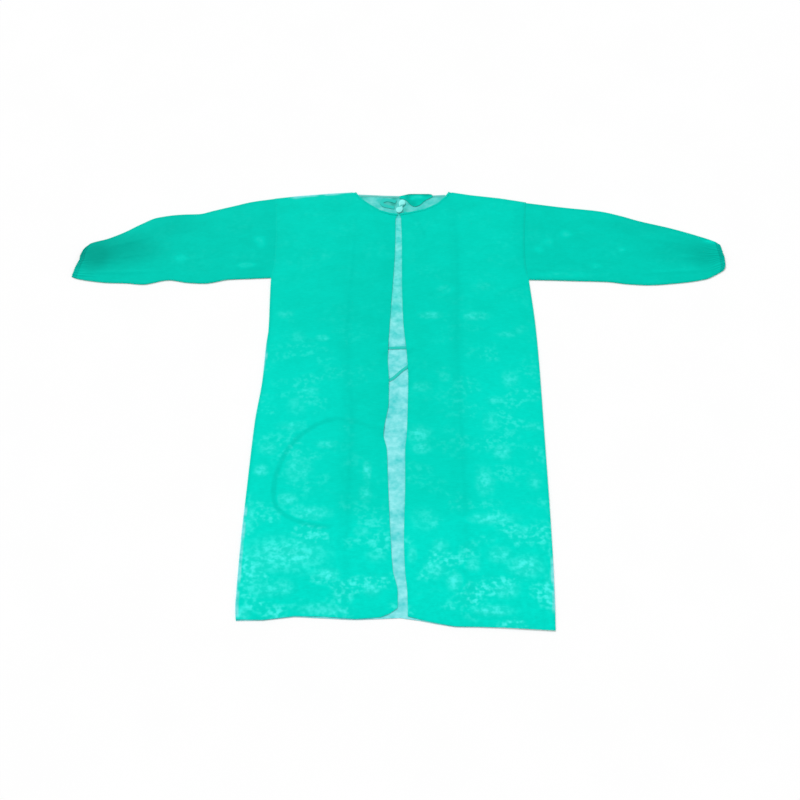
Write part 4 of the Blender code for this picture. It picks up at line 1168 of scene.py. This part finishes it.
def spunbond(name, shades, bump_mm):
    """Spunbonded polypropylene: endless fibres laid at random and welded in small points.

    To the eye it is matt and slightly cloudy, whitish where the web is thin, with fine streaks
    and a field of tiny dimples. The attribute tone whitens or darkens it, mottling sets how many
    flecks it has, and single is 1 where nothing lies behind it.
    """
    # 1.49 is the IOR of polypropylene
    made, tree, shader, place = new_finish(name, {"IOR": 1.49, "Specular IOR Level": 0.015})
    web = {
        layer: add_node(tree, "ShaderNodeAttribute", {"attribute_name": layer}).outputs["Fac"]
        for layer in ("tone", "mottling", "single")
    }
    for key, scale, degrees, shift in (
        ("wide", (0.6, 1, 1), 0, 0), ("rounder", (0.85, 1, 1), 0, 0),
        ("lain", (70, 820, 70), 24, 0), ("crossed", (70, 820, 70), -38, 3),
        ("diagonal", (1, 1, 1), 45, 0),
    ):
        web[key] = add_node(tree, "ShaderNodeMapping", None, {
            "Vector": place, "Scale": scale, "Rotation": (0, 0, math.radians(degrees)),
            "Location": (shift, shift, 0),
        }).outputs[0]
    for key, vector, scale, detail, roughness in (
        # Clouds of 30 to 60 mm, where the web is thicker or thinner
        ("clouds", "wide", 24.0, 3.0, 0.6),
        # Soft spots of 5 to 12 mm, a little longer across the gown, in clusters of about 60 mm
        ("flecks", "rounder", 104.0, 1.2, 0.5),
        ("clusters", "wide", 17.0, 1.0, 0.5),
        # Drifts of about 25 mm in a single layer
        ("drifts", "wide", 38.0, 1.5, 0.5),
        # Fibres are 0.02 mm thick; bundles of them, about 1 mm, are the finest that show
        ("one_way", "lain", 1.0, 2.0, 0.5),
        ("other_way", "crossed", 1.0, 2.0, 0.5),
    ):
        web[key] = add_node(tree, "ShaderNodeTexNoise", None, {
            "Vector": web[vector], "Scale": scale, "Detail": detail, "Roughness": roughness,
        }).outputs[0]
    web["fibres"] = add_node(tree, "ShaderNodeMath", {"operation": "MAXIMUM"}, {
        0: web["one_way"], 1: web["other_way"],
    }).outputs[0]
    # Weld points in a diamond pattern, 2.4 mm apart where the real ones are about 2 mm
    web["cells"] = add_node(tree, "ShaderNodeTexVoronoi", {"voronoi_dimensions": "2D"}, {
        "Vector": web["diagonal"], "Scale": 1000 / WELD_MM, "Randomness": 0.0,
    }).outputs["Distance"]
    web["drifting"] = add_node(tree, "ShaderNodeMix", None, {
        0: 0.30, 2: web["drifts"], 3: web["flecks"],
    }).outputs[0]

    for key, value, curve, *ends in (
        ("welds", "cells", "SMOOTHSTEP", 0.18, 0.34, 1.0, 0.0),
        ("broken", "flecks", "LINEAR", 0.40, 0.68, 0.22, 1.15),
        ("spots", "flecks", "SMOOTHSTEP", 0.43, 0.74, 0.04, 1.00),
        ("gathered", "clusters", "SMOOTHSTEP", 0.47, 0.64, 0.0, 1.2),
        ("thin_share", "drifting", "LINEAR", 0.34, 0.66, 0.0, 1.0),
        ("streaked", "fibres", "LINEAR", 0.45, 0.75, 0.97, 1.05),
        # Painted light and shade of fine crumples: where it is mottled, the flecks lighten and
        # darken the cloth a little more
        ("depth", "mottling", "LINEAR", 0.0, 1.0, 0.05, 0.22),
        # Welded points are smoother than the loose web around them
        ("gloss", "welds", "LINEAR", 0.0, 1.0, 0.70, 0.50),
        # A single layer lies flatter
        ("relief", "single", "LINEAR", 0.0, 1.0, 1.0, 0.4),
    ):
        sockets = zip(("From Min", "From Max", "To Min", "To Max"), ends)
        web[key] = add_node(tree, "ShaderNodeMapRange", {"interpolation_type": curve}, {
            "Value": web[value], **dict(sockets),
        }).outputs[0]
    for key, operation, clamped, *values in (
        # Whitish: the placed patches, broken up by the flecks, and the loose mottling
        ("placed", "MULTIPLY", True, "tone", "broken"),
        ("patchy", "MULTIPLY", False, "spots", "gathered"),
        ("loose", "MULTIPLY", False, "patchy", "mottling"),
        ("whitish", "MAXIMUM", False, "placed", "loose"),
        # Darker where tone is below 0: painted shade, and cloth over a hidden tie or gathered at a
        # wrist
        ("dark", "MULTIPLY", True, "tone", -1.0),
        ("worn", "MULTIPLY", True, "mottling", 2.4),
        # Brightness of the streaks and the weld points, and the painted light and shade of
        # crumples at the flecks
        ("welded", "MULTIPLY_ADD", False, "welds", -0.07, "streaked"),
        ("uneven", "SUBTRACT", False, "flecks", 0.5),
        ("light", "MULTIPLY_ADD", False, "uneven", "depth", "welded"),
        # Height in millimetres of the flecks, the fibres and the weld points
        ("puffed", "MULTIPLY", False, "flecks", bump_mm),
        ("fibrous", "MULTIPLY_ADD", False, "fibres", 0.05, "puffed"),
        ("height", "MULTIPLY_ADD", False, "welds", -0.05, "fibrous"),
    ):
        settings = {"operation": operation, "use_clamp": clamped}
        inputs = {i: web.get(value, value) for i, value in enumerate(values)}
        web[key] = add_node(tree, "ShaderNodeMath", settings, inputs).outputs[0]

    thin = add_node(tree, "ShaderNodeMix", {"data_type": "RGBA"}, {
        0: web["thin_share"], 6: colour(shades.single), 7: colour(shades.thin),
    }).outputs[2]
    body = colour(shades.deep)
    for share, other in (
        ("clouds", colour(shades.mid)), ("worn", colour(shades.thinned)),
        ("whitish", colour(shades.pale)), ("dark", colour(shades.dark)), ("single", thin),
    ):
        body = add_node(tree, "ShaderNodeMix", {"data_type": "RGBA"}, {
            0: web[share], 6: body, 7: other,
        }).outputs[2]
    lit = add_node(tree, "ShaderNodeVectorMath", {"operation": "SCALE"}, {
        0: body, "Scale": web["light"],
    }).outputs[0]
    bump = add_node(tree, "ShaderNodeBump", None, {
        "Height": web["height"], "Distance": 0.001, "Strength": web["relief"],
    }).outputs[0]
    for socket, value in (("Base Color", lit), ("Roughness", web["gloss"]), ("Normal", bump)):
        tree.links.new(value, shader.inputs[socket])
    return made


def two_tone_finish(name, scale, detail, low, high, settings):
    """A material with a faint noise between two colours."""
    made, tree, shader, place = new_finish(name, settings)
    noise = add_node(tree, "ShaderNodeTexNoise", None, {
        "Vector": place, "Scale": scale, "Detail": detail,
    }).outputs[0]
    tint = add_node(tree, "ShaderNodeMix", {"data_type": "RGBA"}, {
        0: noise, 6: colour(low), 7: colour(high),
    }).outputs[2]
    tree.links.new(tint, shader.inputs["Base Color"])
    return made


def sewing_thread():
    """Spun polyester thread: round, softly lustrous, with a fine twist about 1 mm long."""
    return two_tone_finish("spun_polyester_thread", 900.0, 1.0, "04c8b2", "10dac6", {
        "Roughness": 0.5, "Specular IOR Level": 0.15,
    })


def paper_floor():
    """Matt white paper: pale and even, with a faint tooth."""
    return two_tone_finish("matt_white_paper", 6.0, 2.0, "fbfbfb", "fdfdfd", {
        "Roughness": 0.9, "Specular IOR Level": 0.0,
    })


def add_to_stage(name, data):
    obj = bpy.data.objects.new(name, data)
    bpy.context.scene.collection.objects.link(obj)
    return obj


def set_stage():
    """Floor, soft light and the camera of the photograph: 63 degrees down, looking along +Y."""
    mesh = bpy.data.meshes.new("floor")
    corners = [(x * FLOOR_REACH, y * FLOOR_REACH, FLOOR_Z) for x, y in (
        (-1, -1), (1, -1), (1, 1), (-1, 1),
    )]
    mesh.from_pydata(corners, [], [(0, 1, 2, 3)])
    mesh.materials.append(paper_floor())
    add_to_stage("floor", mesh)

    world = bpy.data.worlds.new("studio")
    world.use_nodes = True
    background = world.node_tree.nodes["Background"]
    background.inputs["Color"].default_value = (1, 1, 1, 1)
    background.inputs["Strength"].default_value = SKY_STRENGTH
    bpy.context.scene.world = world
    sun = bpy.data.lights.new("window_light", "SUN")
    sun.energy = WINDOW_STRENGTH
    sun.angle = math.radians(22)
    lamp = add_to_stage("window_light", sun)
    lamp.rotation_euler = (math.radians(-40), math.radians(-28), 0)

    lens = bpy.data.cameras.new("camera")
    lens.sensor_width = 36
    lens.lens = LENS_MM
    camera = add_to_stage("camera", lens)
    back, up = (CAMERA_DISTANCE * turn(CAMERA_DOWN) for turn in (math.cos, math.sin))
    camera.location = (0, AIM_Y - back, up)
    camera.rotation_euler = (math.radians(90) - CAMERA_DOWN, 0, 0)
    bpy.context.scene.camera = camera
    bpy.context.scene.view_settings.view_transform = "Standard"


def dress(piece, node):
    """Puts a finished piece in its solid's place, on the root body, and hides that solid."""
    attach(piece, "root")
    if node:
        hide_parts(node)
    return piece


def build_gown():
    # Two layers behind each other look deep; one layer on a white ground looks pale
    web = spunbond("spunbonded_polypropylene", Shades("00cbb3", "01dcc6"), 0.20)
    gathered = spunbond(
        "elasticated_spunbond", Shades("00bba6", "01cab8", "009484", "02cdbc", "30d8cc"), 0.22
    )
    taped = spunbond("folded_spunbond_tape", Shades("00c4ae", "02d2be"), 0.10)
    front_taped = spunbond("tape_on_one_layer", Shades("5cc6c0", "86d4ce"), 0.10)
    strip = spunbond("cut_spunbond_strip", Shades("20c2b2", "3ad4c8"), 0.10)
    knotted = spunbond("knotted_spunbond_strip", Shades("7ff0e8", "a0fbf8", "2cb4a8"), 0.12)
    thread = sewing_thread()

    dress(front_panel(web), "front_panel")
    for panel in (LEFT, RIGHT):
        cloth, size, area = back_panel(panel, web)
        dress(cloth, panel.name + "_back_panel")
    for arm in ARMS:
        dress(sleeve(arm, web), arm.side + "_sleeve")
        dress(wrist_band(arm, gathered), arm.side + "_cuff")

    tapes = [
        (panel.name, back_neck_edge(panel), tape_underside(panel), taped, ["front_panel"])
        for panel in (LEFT, RIGHT)
    ] + [("front", FRONT_NECK, lambda x, y: FRONT_TAPE_FLOOR, front_taped, ())]
    for side, edge, underside, finish, rests_on in tapes:
        tape, length = neck_tape(side + "_neck_tape", edge, underside, finish)
        dress(tape, side + "_neck_binding")

    knot = dress(tied_knot(knotted), "neck_knot")
    ties = [
        ("left_waist_strip", "left_waist_tie", LEFT_WAIST_ROUTE, TIE_WIDTH, waist_tie, TIE_CUT),
        ("right_waist_strip", "right_waist_tie", RIGHT_WAIST_ROUTE, TIE_WIDTH, waist_tie, TIE_CUT),
        ("left_neck_loop", "left_neck_tie", LEFT_NECK_ROUTE, LOOP_WIDTH, neck_tie, LOOP_CUT),
        ("neck_tail", "neck_tie_end", NECK_END_ROUTE, NECK_TIE_WIDTH, neck_tie, TAPE_CUT),
    ]
    for seed, (name, node, route, width, make, cut) in enumerate(ties, 101):
        piece, length = make(name, route, width, seed, strip)
        dress(piece, node)
    loop = opened_loop("right_neck_loop", OPENED_LOOP, web)
    dress(loop, "right_neck_tie")

    for name, seams, slot in (
        ("body_stitches", body_seams(), "cloth"),
        ("sleeve_stitches", [sleeve_seam(arm) for arm in ARMS], "sleeve_cloth"),
        ("wrist_stitches", [seam for arm in ARMS for seam in wrist_seams(arm)], "cuff"),
        ("tape_stitches", tape_seams(), "binding"),
    ):
        dress(stitches(name, seams, thread), None)


GOWN = bpy.data.collections.new("dressed_gown")
bpy.context.scene.collection.children.link(GOWN)
STITCH_TREE = stitch_tree()
set_stage()
build_gown()
